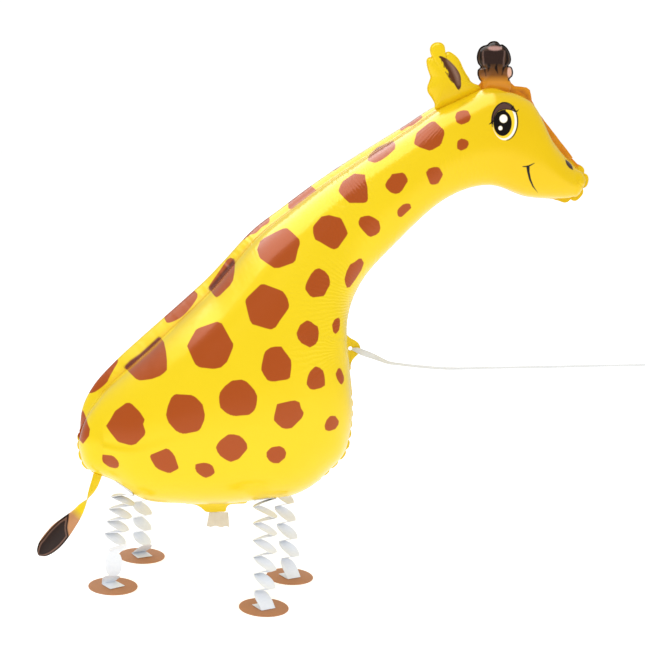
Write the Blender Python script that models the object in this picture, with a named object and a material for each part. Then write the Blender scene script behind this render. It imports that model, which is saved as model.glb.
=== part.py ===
"""A foil giraffe balloon that walks on four folded paper legs, led by a flat ribbon.

Metres, +Z up. The giraffe looks along +X, its seam lies in the plane Y = 0, and its feet stand on Z = 0.
The free form of the giraffe is measured in SHARE, one 757th of its height, so its pose grows with HEIGHT.
Strips, seams, holes, discs and films keep their own sizes in metres.
"""

import math

import bmesh
import bpy
import numpy as np
from mathutils import Matrix, Vector
from mathutils.bvhtree import BVHTree

# Driving sizes
HEIGHT = 0.757  # from the floor to the tip of the horn
SHARE = HEIGHT / 757.0
GAP = 0.0003  # clearance between pieces that touch

# Foil and its heat-sealed seam
SEAM_WIDTH = 0.006  # the flat rim outside the inflated foil
SEAM_THICKNESS = 0.0012
SEAM_VALLEY_DEPTH = 0.009  # how deep the seam lies between the two panels along the back
SEAM_VALLEY_WIDTH = 0.018
SECTION_POWER = 2.25  # 2 is an ellipse, more is a fuller pillow
SMOOTH_ANGLE = 40  # degrees, sharper edges than this stay crisp

# Lead tab on the chest
TAB_REACH = 0.0190  # from the middle of its round end to the tip
TAB_SETBACK = 0.0060  # how far the middle of the round end lies behind the hole
TAB_ROOT = 0.0200  # how far the tab reaches back from the hole, into the body
TAB_LENGTH = 0.032
TAB_THICKNESS = 0.0016
TAB_HOLE = 0.0055
TAB_END_STEPS = 16
TAB_HOLE_STEPS = 20

# Ear, horn and filling neck
EAR_HALF_THICKNESS = 0.0075
EAR_RIM = 0.0050
HORN_HALF_THICKNESS = 0.0110
HORN_RIM = 0.0070
LOBE_RIM_THICKNESS = 0.0015
LOBE_ANGLES = (14, 40)  # degrees round a lobe's section, from its seam to its middle
NECK_TOP_WIDTH = 0.044
NECK_FOOT_WIDTH = 0.026
NECK_LENGTH = 0.032
NECK_ROOT_SHARE = 0.45  # the part of its length, inside the body, that keeps its full width
NECK_THICKNESS = 0.0040
NECK_STEPS = 6

# Filling valve, a flat film tongue
VALVE_WIDTH = 0.031
VALVE_LENGTH = 0.021
VALVE_THICKNESS = 0.0008
VALVE_TOP_SHARES = (0.88, 0.80)  # its half widths at the top, rear and front, of that at its foot
VALVE_WAVE = 0.0008
VALVE_WAVE_TURN = 7.0  # radians of wave from the middle of its foot to either corner
VALVE_STEPS = 12

# Paper legs and card feet
STRIP_WIDTH = 0.023  # across the middle of a panel
FOLD_WIDTH = 0.010  # the strip is cut narrower at each fold, so its panels are leaf-shaped
STRIP_THICKNESS = 0.0008
PANEL_LENGTH = 0.033
SHOULDER_SHARE = 0.28  # how far along a panel it reaches its full width, of its length
TOP_TAB_LENGTH = 0.030
FOOT_TAB_LENGTH = 0.022
KNEE_HEIGHT = 0.017  # the fold below a panel that hangs upright
KNEE_TURN = -94  # the way that such a panel faces, in degrees from +X
KNEE_OFFSET = 0.004
SHARPEST_MITRE = 0.05  # keeps a fold's corner from growing into a spike
FOOT_DIAMETER = 0.066
FOOT_THICKNESS = 0.0012
FOOT_STEPS = 48
CREASE_ANGLE = 20  # degrees, a fold sharper than this stays crisp

# Tail
TAIL_THICKNESS = 0.0012
TUFT_HALF_THICKNESS = 0.0022

# Ribbon
RIBBON_TUBE = 0.0040  # the diameter of the tube that stands for the flat ribbon
KNOT_DIAMETER = 0.0110
LOOP_LENGTH = 0.050
LOOP_WIDTH = 0.030
LOOP_NECK_SHARE = 0.55  # how wide the loop is at its knot, of its full width
LOOP_STEPS = 28
RIBBON_STEPS = 4

# The body's stations from the rump to the lips: a point on the back, the point across from it on the
# belly, and half the thickness there, all in SHARE.
STATIONS = (
    ((-291, 272), (-262, 145), 58),
    ((-265, 304), (-217, 119), 78),
    ((-234, 336), (-166, 114), 92),
    ((-204, 366), (-110, 115), 100),
    ((-176, 394), (-58, 124), 104),
    ((-151, 420), (-12, 136), 104),
    ((-128, 447), (27, 164), 102),
    ((-92, 490), (57, 228), 96),
    ((-53, 523), (51, 303), 86),
    ((-8, 560), (42, 372), 75),
    ((41, 596), (57, 426), 66),
    ((100, 637), (97, 478), 62),
    ((154, 674), (158, 540), 58),
    ((214, 693), (218, 566), 56),
    ((265, 686), (277, 557), 51),
    ((300, 636), (318, 555), 40),
    ((334, 602), (339, 557), 27),
)
RUMP = ((-296, 160), (-308, 185), (-311, 210), (-307, 240))
LIPS = ((346, 561), (352, 572), (354, 584), (347, 594))
# How strongly the seam sinks into its valley at each station: along the back, and along the belly.
BACK_VALLEY = (1.0, 1.0, 1.0, 1.0, 1.0, 1.0, 1.0, 1.0, 1.0, 1.0, 0.9, 0.8, 0.5, 0.3, 0.2, 0.1, 0.0)
BELLY_VALLEY = (0.3, 0.8, 0.8, 0.8, 0.6, 0.2, 0.0, 0.0, 0.1, 0.7, 0.9, 0.9, 0.8, 0.6, 0.3, 0.0, 0.0)
RUMP_VALLEY = (0.2, 0.5, 0.8, 1.0)
# How far the rim reaches past the seal at each station of the brow band, from the horn to the nose.
BROW_STATIONS = (13, 14, 14.4, 15, 16)
BROW_RIM = (0.0070, 0.0105, 0.0052, 0.0062, 0.0062)
STEPS = 3  # slices between two stations
SIDE_ANGLES = (7, 16, 30, 48, 68)  # degrees round a section, from the seam to the side's widest line

# Ear and horn, their outer outlines and their thickest point, in SHARE
EAR_OUTLINE = (
    (146, 664), (141, 676), (129, 690), (130, 712), (126, 729), (130, 745), (139, 752), (149, 744),
    (155, 737), (169, 728), (179, 715), (192, 701), (205, 692), (180, 676), (160, 668),
)
EAR_CENTRE = (153, 706)
HORN_OUTLINE = (
    (202, 688), (201, 704), (196, 715), (197, 723), (193, 735), (203, 752), (214, 757), (225, 752),
    (239, 736), (238, 727), (243, 719), (239, 709), (246, 700), (250, 688), (225, 680),
)
HORN_CENTRE = (219, 722)

# Places along the underside and on the chest, in SHARE
TAB_PLACE = (51, 336)
NECK_PLACE_X = -119
NECK_FOOT_Z = 100
VALVE_SHIFT = 4  # the film hangs this far in front of the neck's middle

# Each leg: where its strip is glued under the belly and where its foot stands, in SHARE, how many even
# folds it has, how far the first hangs below the top tab and how high the last is, in metres, the way
# its zigzag faces at the first fold, at the last and on the foot, in degrees from +X, and the side that
# its top tab ends on.
LEGS = {
    "right_rear": ((-243, -32), (-254, -29), 8, 0.004, 0.064, (-12, -48, -55), 1),
    "left_rear": ((-220, 32), (-217, 95), 7, 0.012, 0.022, (-50, -64, -64), -1),
    "right_front": ((-55, -32), (-54, -95), 11, 0.006, 0.019, (-10, -62, -62), 1),
    "left_front": ((-22, 32), (-9, 24), 9, 0.010, 0.022, (-50, -62, -62), 1),
}

# The tail: middle of the strip (x, y, z), its width and the turn of its face in degrees, in SHARE
TAIL_STATIONS = (
    ((-281, -2, 149), 12, 0),
    ((-285, -3, 135), 11, 15),
    ((-290, -4, 122), 10, 50),
    ((-294, -4, 113), 10, 90),
    ((-300, -4, 104), 12, 130),
    ((-307, -4, 93), 15, 160),
    ((-316, -4, 82), 21, 180),
    ((-327, -4, 69), 27, 180),
    ((-337, -4, 56), 28, 180),
    ((-346, -4, 45), 24, 180),
    ((-354, -4, 36), 15, 180),
)
TUFT_START = 5  # the station where the strip widens into the tuft

# The ribbon's route after the tab, in SHARE
RIBBON_ROUTE = (
    (53, -3, 336), (60, -4, 334), (68, -4, 331), (83, -2, 327), (104, 0, 319), (122, 0, 317),
    (150, 0, 315), (191, 0, 314), (261, 0, 318), (346, 0, 323), (410, 0, 327), (480, 0, 331),
)

MATERIALS = {
    "yellow_foil": ((1.0, 0.72, 0.03), 0.32, 0.1),
    "tail_foil": ((0.95, 0.68, 0.05), 0.35, 0.1),
    "clear_film": ((0.85, 0.80, 0.70), 0.25, 0.0),
    "white_paper": ((0.90, 0.91, 0.92), 0.75, 0.0),
    "brown_card": ((0.42, 0.22, 0.12), 0.85, 0.0),
    "white_ribbon": ((0.80, 0.80, 0.79), 0.45, 0.0),
}


def clear_scene():
    for thing in list(bpy.data.objects):
        bpy.data.objects.remove(thing, do_unlink=True)


def make_material(name):
    colour, roughness, metallic = MATERIALS[name]
    material = bpy.data.materials.new(name)
    material.use_nodes = True
    shader = material.node_tree.nodes["Principled BSDF"]
    shader.inputs["Base Color"].default_value = (*colour, 1.0)
    shader.inputs["Roughness"].default_value = roughness
    shader.inputs["Metallic"].default_value = metallic
    return material


def catmull(p0, p1, p2, p3, t):
    """One point of a smooth curve between p1 and p2."""
    return 0.5 * (
        2 * p1 + (p2 - p0) * t + (2 * p0 - 5 * p1 + 4 * p2 - p3) * t * t + (3 * p1 - p0 - 3 * p2 + p3) * t**3
    )


def smooth_loop(rows, steps):
    """A closed smooth curve through the rows, with so many steps between two of them."""
    rows = np.array(rows, float)
    count = len(rows)
    out = []
    for i in range(count):
        around = [rows[(i + k) % count] for k in (-1, 0, 1, 2)]
        out += [catmull(*around, t / steps) for t in range(steps)]
    return np.array(out)


def smooth_line(rows, steps):
    """An open smooth curve through the rows, with so many steps between two of them."""
    rows = np.array(rows, float)
    last = len(rows) - 1
    out = []
    for i in range(last):
        around = [rows[min(max(i + k, 0), last)] for k in (-1, 0, 1, 2)]
        out += [catmull(*around, t / steps) for t in range(steps)]
    out.append(rows[last])
    return np.array(out)


def outward(outline):
    """Unit vectors that point out of a closed outline in the X-Z plane."""
    along = np.roll(outline, -1, axis=0) - np.roll(outline, 1, axis=0)
    along /= np.linalg.norm(along, axis=1)[:, None]
    normal = np.stack([-along[:, 1], along[:, 0]], axis=1)
    following = np.roll(outline, -1, axis=0)
    area = np.sum(outline[:, 0] * following[:, 1] - following[:, 0] * outline[:, 1])
    return -normal if area > 0 else normal


def new_object(name, mesh, material):
    thing = bpy.data.objects.new(name, mesh)
    bpy.context.scene.collection.objects.link(thing)
    if material is not None:
        mesh.materials.append(material)
    return thing


def mesh_object(name, points, faces, material, smooth_angle=SMOOTH_ANGLE):
    """A closed mesh with its faces pointing out."""
    mesh = bpy.data.meshes.new(name)
    mesh.from_pydata([tuple(p) for p in points], [], faces)
    work = bmesh.new()
    work.from_mesh(mesh)
    bmesh.ops.remove_doubles(work, verts=work.verts, dist=1e-6)
    bmesh.ops.recalc_face_normals(work, faces=work.faces)
    if work.calc_volume(signed=True) < 0:
        bmesh.ops.reverse_faces(work, faces=work.faces)
    work.to_mesh(mesh)
    work.free()
    mesh.shade_smooth()
    mesh.set_sharp_from_angle(angle=math.radians(smooth_angle))
    return new_object(name, mesh, material)


def pouch(name, edge, seam, outline, axis, owner, half, rim_thickness, material, angles=SIDE_ANGLES):
    """Two foil panels sealed along a seam and inflated, with a flat rim outside the seal.

    edge, seam, outline: closed loops of (x, z): the rim's outer edge, the seal, and the line that the
    panels swell out to beside it. axis: points down the middle, and half the thickness at each in half.
    owner: the axis point that each outline point is joined to.
    """
    count = len(outline)
    points, faces = [], []

    def add(x, y, z):
        points.append((x, y, z))
        return len(points) - 1

    rims = []
    for side in (-1, 1):
        rings = [[add(p[0], side * rim_thickness / 2, p[1]) for p in loop] for loop in (edge, seam)]
        for degrees in angles:
            across = math.cos(math.radians(degrees)) ** (2 / SECTION_POWER)
            deep = math.sin(math.radians(degrees)) ** (2 / SECTION_POWER)
            ring = []
            for i in range(count):
                middle = axis[owner[i]]
                depth = max(deep * half[owner[i]], rim_thickness / 2)
                sink = (outline[i] - seam[i]) * math.exp(-((depth / SEAM_VALLEY_WIDTH) ** 2))
                place = middle + (outline[i] - middle) * across - sink
                ring.append(add(place[0], side * depth, place[1]))
            rings.append(ring)
        ridge = [add(middle[0], side * depth, middle[1]) for middle, depth in zip(axis, half)]
        for i in range(count):
            j = (i + 1) % count
            for outer, inner in zip(rings[:-1], rings[1:]):
                faces.append((outer[i], outer[j], inner[j], inner[i]))
            last = rings[-1]
            tip = [ridge[owner[i]]] if owner[i] == owner[j] else [ridge[owner[j]], ridge[owner[i]]]
            faces.append((last[i], last[j], *tip))
        rims.append(rings[0])
    for i in range(count):
        j = (i + 1) % count
        faces.append((rims[0][i], rims[0][j], rims[1][j], rims[1][i]))
    return mesh_object(name, points, faces, material)


def body_loop():
    """The body's three loops, its middle line, the middle point of each outline point, and the half
    thickness along the middle."""
    back = [row[0] for row in STATIONS]
    belly = [row[1] for row in STATIONS]
    valley = list(BACK_VALLEY) + [0.0] * len(LIPS) + list(BELLY_VALLEY[::-1]) + list(RUMP_VALLEY)
    rows = back + list(LIPS[::-1]) + belly[::-1] + list(RUMP)
    loop = smooth_loop([(x, z, v) for (x, z), v in zip(rows, valley)], STEPS)
    middles = [((a[0] + b[0]) / 2, (a[1] + b[1]) / 2, half) for a, b, half in STATIONS]
    middle = smooth_line(middles, STEPS)
    slices = (len(STATIONS) - 1) * STEPS
    lip_steps = (len(LIPS) + 1) * STEPS
    rump_steps = (len(RUMP) + 1) * STEPS
    owner = list(range(slices + 1)) + [slices] * (lip_steps - 1)
    owner += list(range(slices, -1, -1)) + [0] * (rump_steps - 1)
    rim = np.full(len(loop), SEAM_WIDTH)
    brow = range(BROW_STATIONS[0] * STEPS, BROW_STATIONS[-1] * STEPS + 1)
    rim[brow] = np.interp(brow, np.array(BROW_STATIONS) * STEPS, BROW_RIM)
    outline = loop[:, :2] * SHARE
    normal = outward(outline)
    seam = outline - normal * (np.clip(loop[:, 2], 0, 1) * SEAM_VALLEY_DEPTH)[:, None]
    edge = seam + normal * rim[:, None]
    return edge, seam, outline, middle[:, :2] * SHARE, owner, middle[:, 2] * SHARE


def lobe(name, outline, centre, half_thickness, rim_width):
    """A small inflated lobe, such as the ear, whose printed outline is the outer edge of its rim."""
    edge = smooth_loop(outline, STEPS) * SHARE
    middle = np.array([centre], float) * SHARE
    out = edge - middle
    seam = edge - out * rim_width / np.linalg.norm(out, axis=1)[:, None]
    owner = [0] * len(seam)
    return pouch(
        name, edge, seam, seam, middle, owner, [half_thickness], LOBE_RIM_THICKNESS, None, LOBE_ANGLES,
    )


def plate(name, outline, thickness, material):
    """A flat plate with its outline in the X-Z plane."""
    count = len(outline)
    points = [(x, side * thickness / 2, z) for side in (-1, 1) for x, z in outline]
    faces = [tuple(range(count)), tuple(range(2 * count - 1, count - 1, -1))]
    faces += [(i, (i + 1) % count, count + (i + 1) % count, count + i) for i in range(count)]
    return mesh_object(name, points, faces, material)


def helper(thing):
    """Marks an object that only shapes another one."""
    thing.hide_render = True
    thing.display_type = "WIRE"
    return thing


def boolean(target, tool, operation):
    modifier = target.modifiers.new(tool.name, "BOOLEAN")
    modifier.operation = operation
    modifier.solver = "EXACT"
    modifier.object = helper(tool)


def lead_tab():
    """The rounded foil tab on the chest, rooted inside the body."""
    x, z = TAB_PLACE[0] * SHARE, TAB_PLACE[1] * SHARE
    outline = []
    for step in range(TAB_END_STEPS + 1):
        angle = math.pi * (step / TAB_END_STEPS - 0.5)
        round_x = x - TAB_SETBACK + TAB_REACH * math.cos(angle)
        outline.append((round_x, z + TAB_LENGTH / 2 * math.sin(angle)))
    outline += [(x - TAB_ROOT, z + TAB_LENGTH / 2), (x - TAB_ROOT, z - TAB_LENGTH / 2)]
    return plate("tab_shape", outline, TAB_THICKNESS, None)


def filling_neck():
    """The flat foil neck under the belly that the valve film comes out of."""
    x = NECK_PLACE_X * SHARE
    top = NECK_FOOT_Z * SHARE + NECK_LENGTH
    half_top, half_foot = NECK_TOP_WIDTH / 2, NECK_FOOT_WIDTH / 2
    outline = [(x - half_top, top), (x + half_top, top)]
    for step in range(NECK_STEPS + 1):
        t = step / NECK_STEPS
        wide = half_foot + (half_top - half_foot) * (1 - t) ** 2
        outline.append((x + wide, top - NECK_LENGTH * (NECK_ROOT_SHARE + (1 - NECK_ROOT_SHARE) * t)))
    outline += [(2 * x - px, pz) for px, pz in outline[:1:-1]]
    return plate("neck_shape", outline, NECK_THICKNESS, None)


def build_balloon(material):
    balloon = pouch("balloon", *body_loop(), SEAM_THICKNESS, material)
    boolean(balloon, lobe("ear_shape", EAR_OUTLINE, EAR_CENTRE, EAR_HALF_THICKNESS, EAR_RIM), "UNION")
    boolean(balloon, lobe("horn_shape", HORN_OUTLINE, HORN_CENTRE, HORN_HALF_THICKNESS, HORN_RIM), "UNION")
    boolean(balloon, lead_tab(), "UNION")
    boolean(balloon, filling_neck(), "UNION")
    hole = bpy.data.meshes.new("tab_hole")
    work = bmesh.new()
    turn = Matrix.Rotation(math.radians(90), 4, "X")
    move = Matrix.Translation((TAB_PLACE[0] * SHARE, 0, TAB_PLACE[1] * SHARE))
    bmesh.ops.create_cone(
        work, cap_ends=True, segments=TAB_HOLE_STEPS, radius1=TAB_HOLE / 2, radius2=TAB_HOLE / 2,
        depth=4 * TAB_THICKNESS, matrix=move @ turn,
    )
    work.to_mesh(hole)
    work.free()
    boolean(balloon, new_object("tab_hole", hole, None), "DIFFERENCE")
    return balloon


def surface_of(thing):
    """What a piece can be seated against: the piece as its modifiers leave it."""
    bpy.context.view_layer.update()
    ready = thing.evaluated_get(bpy.context.evaluated_depsgraph_get())
    work = bmesh.new()
    work.from_mesh(ready.to_mesh())
    tree = BVHTree.FromBMesh(work)
    work.free()
    return tree


def level(degrees):
    """A level unit vector that faces so many degrees from +X towards +Y."""
    return Vector((math.cos(math.radians(degrees)), math.sin(math.radians(degrees)), 0))


def leg_folds(tree, glued, stands, folds, first_drop, low_fold, turns, side):
    """The middle of each fold of a strip, and the direction of its crease."""
    below = Vector((glued[0] * SHARE, glued[1] * SHARE, -HEIGHT))
    place, normal, _, _ = tree.ray_cast(below, Vector((0, 0, 1)))
    if normal.z > 0:
        normal = -normal
    turn_top, turn_low, turn_foot = turns
    facing = level(turn_top)
    along = (facing - normal * facing.dot(normal)).normalized()
    crease = normal.cross(along)
    if crease.dot(level(turn_top + 90)) < 0:
        crease = -crease
    seat = place + normal * (GAP + STRIP_THICKNESS)
    rows = [(seat + along * side * way * TOP_TAB_LENGTH / 2, crease) for way in (-1, 1)]
    foot = Vector((stands[0] * SHARE, stands[1] * SHARE, FOOT_THICKNESS + GAP + STRIP_THICKNESS))
    first_z = min(row[0].z for row in rows) - first_drop
    pitch = (first_z - low_fold) / (folds - 1)
    reach = math.sqrt(max(PANEL_LENGTH**2 - pitch**2, (PANEL_LENGTH / 2) ** 2)) / 2
    for i in range(1, folds + 1):
        side = -side
        share = i / folds
        turn = turn_top + (turn_low - turn_top) * share
        centre = seat.lerp(foot, share)
        centre.z = first_z - pitch * (i - 1)
        rows.append((centre + level(turn) * side * reach, level(turn + 90)))
    out, crease = level(turn_foot), level(turn_foot + 90)
    if low_fold > PANEL_LENGTH:
        knee = foot + level(KNEE_TURN) * side * KNEE_OFFSET
        for height in (KNEE_HEIGHT + PANEL_LENGTH, KNEE_HEIGHT):
            knee.z = height
            rows.append((knee.copy(), level(KNEE_TURN + 90)))
    rows += [(foot + out * side * way * FOOT_TAB_LENGTH / 2, crease) for way in (-1, 1)]
    return rows


def build_leg(name, tree, spec, material):
    """A paper strip folded like an accordion, its top tab glued under the belly and its last on the foot."""
    folds = leg_folds(tree, *spec)
    rows = [(*folds[0], STRIP_WIDTH)]
    for (a, crease_a), (b, crease_b) in zip(folds[:-1], folds[1:]):
        for share in (SHOULDER_SHARE, 1 - SHOULDER_SHARE):
            rows.append((a.lerp(b, share), crease_a.lerp(crease_b, share).normalized(), STRIP_WIDTH))
        rows.append((b, crease_b, FOLD_WIDTH))
    rows[-1] = (*folds[-1], STRIP_WIDTH)
    last = len(rows) - 1
    points, faces = [], []
    for i, (middle, crease, width) in enumerate(rows):
        ways = []
        if i > 0:
            ways.append((middle - rows[i - 1][0]).normalized())
        if i < last:
            ways.append((rows[i + 1][0] - middle).normalized())
        turns = [way.cross(crease).normalized() for way in ways]
        mitre = sum(turns, Vector()) / len(turns)
        mitre *= STRIP_THICKNESS / 2 / max(mitre.length_squared, SHARPEST_MITRE)
        half = crease * width / 2
        points += [middle - half - mitre, middle + half - mitre, middle + half + mitre, middle - half + mitre]
        if i > 0:
            a, b = 4 * (i - 1), 4 * i
            faces += [(a + k, a + (k + 1) % 4, b + (k + 1) % 4, b + k) for k in range(4)]
    end = 4 * last
    faces += [(0, 1, 2, 3), (end + 3, end + 2, end + 1, end)]
    return mesh_object(name, points, faces, material, CREASE_ANGLE)


def build_foot(name, stands, material):
    mesh = bpy.data.meshes.new(name)
    work = bmesh.new()
    place = Matrix.Translation((stands[0] * SHARE, stands[1] * SHARE, FOOT_THICKNESS / 2))
    radius = FOOT_DIAMETER / 2
    bmesh.ops.create_cone(
        work, cap_ends=True, segments=FOOT_STEPS, radius1=radius, radius2=radius, depth=FOOT_THICKNESS,
        matrix=place,
    )
    work.to_mesh(mesh)
    work.free()
    mesh.shade_smooth()
    mesh.set_sharp_from_angle(angle=math.radians(SMOOTH_ANGLE))
    return new_object(name, mesh, material)


def build_tail(seam_y, material):
    """A foil strip that twists once and widens into a soft, leaf-shaped tuft."""
    rows = []
    for i, (place, width, turn) in enumerate(TAIL_STATIONS):
        rows.append((*place, width, turn, 0.0 if i < TUFT_START else 1.0))
    line = smooth_line(rows, STEPS)
    middle = line[:, :3] * SHARE
    middle[:, 1] += seam_y
    points, faces = [], []
    for i, row in enumerate(line):
        along = middle[min(i + 1, len(line) - 1)] - middle[max(i - 1, 0)]
        along = Vector((along[0], 0, along[2])).normalized()
        sideways = Vector((0, -1, 0)).cross(along)
        angle = math.radians(row[4])
        wide = sideways * math.cos(angle) + Vector((0, 1, 0)) * math.sin(angle)
        face = along.cross(wide)
        half = row[3] * SHARE / 2
        swell = TAIL_THICKNESS / 2 + (TUFT_HALF_THICKNESS - TAIL_THICKNESS / 2) * np.clip(row[5], 0, 1)
        edge = TAIL_THICKNESS / 2
        centre = Vector(middle[i])
        ring = ((-half, -edge), (0, -swell), (half, -edge), (half, edge), (0, swell), (-half, edge))
        points += [centre + wide * a + face * b for a, b in ring]
        if i > 0:
            a, b = 6 * (i - 1), 6 * i
            faces += [(a + k, a + (k + 1) % 6, b + (k + 1) % 6, b + k) for k in range(6)]
    end = 6 * (len(line) - 1)
    faces += [tuple(range(6)), tuple(range(end + 5, end - 1, -1))]
    return mesh_object("tail", points, faces, material)


def build_valve(material):
    """The clear film tongue below the filling neck, its foot slightly wavy."""
    x = (NECK_PLACE_X + VALVE_SHIFT) * SHARE
    top = NECK_FOOT_Z * SHARE - GAP
    half = VALVE_WIDTH / 2
    rear, front = VALVE_TOP_SHARES
    outline = [(x - half * rear, top), (x + half * front, top)]
    for i in range(VALVE_STEPS + 1):
        t = 1 - 2 * i / VALVE_STEPS
        wave = VALVE_WAVE * math.sin(t * VALVE_WAVE_TURN)
        outline.append((x + half * t, top - VALVE_LENGTH + wave))
    return plate("inflation_valve", outline, VALVE_THICKNESS, material)


def tube(name, points, diameter, material, cyclic=False):
    curve = bpy.data.curves.new(name, "CURVE")
    curve.dimensions = "3D"
    curve.bevel_depth = diameter / 2
    curve.bevel_resolution = 2
    curve.use_fill_caps = not cyclic
    spline = curve.splines.new("POLY")
    spline.points.add(len(points) - 1)
    for point, place in zip(spline.points, points):
        point.co = (*place, 1.0)
    spline.use_cyclic_u = cyclic
    thing = bpy.data.objects.new(name, curve)
    bpy.context.scene.collection.objects.link(thing)
    curve.materials.append(material)
    return thing


def build_ribbon(material):
    """The lead: the ribbon, the knot outside the picture and the hand loop beyond it."""
    route = smooth_line(RIBBON_ROUTE, RIBBON_STEPS) * SHARE
    route[:, 1] -= TAB_THICKNESS / 2 + GAP
    tube("ribbon", route, RIBBON_TUBE, material)
    end = route[-1]
    radius = KNOT_DIAMETER / 2
    knot_x = end[0] + GAP + radius
    mesh = bpy.data.meshes.new("ribbon_knot")
    work = bmesh.new()
    place = Matrix.Translation((knot_x, end[1], end[2]))
    bmesh.ops.create_uvsphere(work, u_segments=16, v_segments=10, radius=radius, matrix=place)
    work.to_mesh(mesh)
    work.free()
    mesh.shade_smooth()
    new_object("ribbon_knot", mesh, material)
    start = knot_x + radius + GAP + RIBBON_TUBE / 2
    points = []
    for i in range(LOOP_STEPS):
        angle = 2 * math.pi * i / LOOP_STEPS
        reach = (1 - math.cos(angle)) / 2
        wide = math.sin(angle) * (LOOP_NECK_SHARE + (1 - LOOP_NECK_SHARE) * reach)
        points.append((start + LOOP_LENGTH * reach, end[1], end[2] + LOOP_WIDTH / 2 * wide))
    tube("ribbon_loop", points, RIBBON_TUBE, material, cyclic=True)


def main():
    clear_scene()
    materials = {name: make_material(name) for name in MATERIALS}
    balloon = build_balloon(materials["yellow_foil"])
    tree = surface_of(balloon)
    for name, spec in LEGS.items():
        build_leg(f"{name}_leg", tree, spec, materials["white_paper"])
        build_foot(f"{name}_foot", spec[1], materials["brown_card"])
    build_tail(-(SEAM_THICKNESS + TAIL_THICKNESS) / 2 - GAP, materials["tail_foil"])
    build_valve(materials["clear_film"])
    build_ribbon(materials["white_ribbon"])


main()
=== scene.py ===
import math

import bmesh
import bpy
import numpy as np
from mathutils import Matrix, Vector
from mathutils.bvhtree import BVHTree


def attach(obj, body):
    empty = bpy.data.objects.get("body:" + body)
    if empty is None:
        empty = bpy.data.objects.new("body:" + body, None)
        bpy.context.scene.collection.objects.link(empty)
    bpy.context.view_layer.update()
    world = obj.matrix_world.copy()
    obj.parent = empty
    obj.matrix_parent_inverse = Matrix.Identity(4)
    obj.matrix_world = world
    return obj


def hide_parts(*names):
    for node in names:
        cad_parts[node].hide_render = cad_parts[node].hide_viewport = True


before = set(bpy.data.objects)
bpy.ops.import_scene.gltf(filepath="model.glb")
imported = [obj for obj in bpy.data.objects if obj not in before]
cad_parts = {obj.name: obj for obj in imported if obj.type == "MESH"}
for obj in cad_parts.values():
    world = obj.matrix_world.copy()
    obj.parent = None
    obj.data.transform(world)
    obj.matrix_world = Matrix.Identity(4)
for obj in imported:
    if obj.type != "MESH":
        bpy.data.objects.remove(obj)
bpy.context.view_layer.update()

# The CAD nodes come in selected, and an operator acts on all that is selected.
bpy.ops.object.select_all(action="DESELECT")


# Camera
# The photographer stands by the giraffe's right side, a little behind its middle and a little above it,
# with the picture turned clockwise by a few degrees. The picture is 645 pixels wide and high.
PICTURE_SIDE = 645
SENSOR_WIDTH = 36
FOCAL_PIXELS = 1433.0
VIEW_TURN = math.radians(-7)
VIEW_RISE = math.radians(10)
VIEW_ROLL = math.radians(3.75)
VIEW_DISTANCE = 1.935
VIEW_AIM = Vector((0.011, 0, 0.370))

view_back = Vector((
    math.sin(VIEW_TURN) * math.cos(VIEW_RISE),
    -math.cos(VIEW_TURN) * math.cos(VIEW_RISE),
    math.sin(VIEW_RISE),
))
level_right = Vector((math.cos(VIEW_TURN), math.sin(VIEW_TURN), 0))
level_up = view_back.cross(level_right)
view_right = level_right * math.cos(VIEW_ROLL) + level_up * math.sin(VIEW_ROLL)
view_up = level_up * math.cos(VIEW_ROLL) - level_right * math.sin(VIEW_ROLL)
view_place = VIEW_AIM + view_back * VIEW_DISTANCE

camera_data = bpy.data.cameras.new("camera")
camera_data.sensor_width = SENSOR_WIDTH
camera_data.lens = FOCAL_PIXELS * SENSOR_WIDTH / PICTURE_SIDE
camera = bpy.data.objects.new("camera", camera_data)
bpy.context.scene.collection.objects.link(camera)
view_axes = Matrix((view_right, view_up, view_back)).transposed().to_4x4()
camera.matrix_world = Matrix.Translation(view_place) @ view_axes
bpy.context.scene.camera = camera


# Lead ribbon
# A flat white polypropylene ribbon, 7.5 mm wide, drawn through the chest tab's hole and held taut by
# whoever leads the giraffe. It shows its face by the tab, then turns downward and runs nearly edge on.
MM = 0.001
RIBBON_WIDTH = 0.0075
RIBBON_THICKNESS = 0.0005
# The route in millimetres, with the turn of the ribbon's face out of the upright and its gathered width
# at each of its points.
RIBBON_ROUTE = (
    (53, -3, 336), (60, -4, 335), (68, -4, 332), (83, -2, 327), (104, 0, 319), (122, 0, 317),
    (150, 0, 315), (191, 0, 314), (261, 0, 318), (346, 0, 323), (410, 0, 327), (480, 0, 331),
)
RIBBON_TURNS = (12, 8, 4, -20, -48, -54, -52, -53, -57, -55, -58, -56)
RIBBON_GATHERS = (0.42, 0.90, 1.14, 1.08, 1.0, 1.0, 1.0, 1.0, 1.0, 1.0, 1.0, 1.0)
RIBBON_SHIFT = -0.0011


def catmull(p0, p1, p2, p3, t):
    """A place between p1 and p2 on the smooth curve through four points."""
    bend = 2 * p0 - 5 * p1 + 4 * p2 - p3
    swing = 3 * p1 - p0 - 3 * p2 + p3
    return 0.5 * (2 * p1 + (p2 - p0) * t + bend * t * t + swing * t**3)


def smooth_line(rows, steps, closed=False):
    """A smooth curve through the rows, with so many steps between two of them."""
    rows = np.array(rows, float)
    count = len(rows)
    out = []
    for i in range(count if closed else count - 1):
        if closed:
            around = [rows[(i + k) % count] for k in (-1, 0, 1, 2)]
        else:
            around = [rows[min(max(i + k, 0), count - 1)] for k in (-1, 0, 1, 2)]
        out += [catmull(*around, t / steps) for t in range(steps)]
    if not closed:
        out.append(rows[-1])
    return np.array(out)


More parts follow.
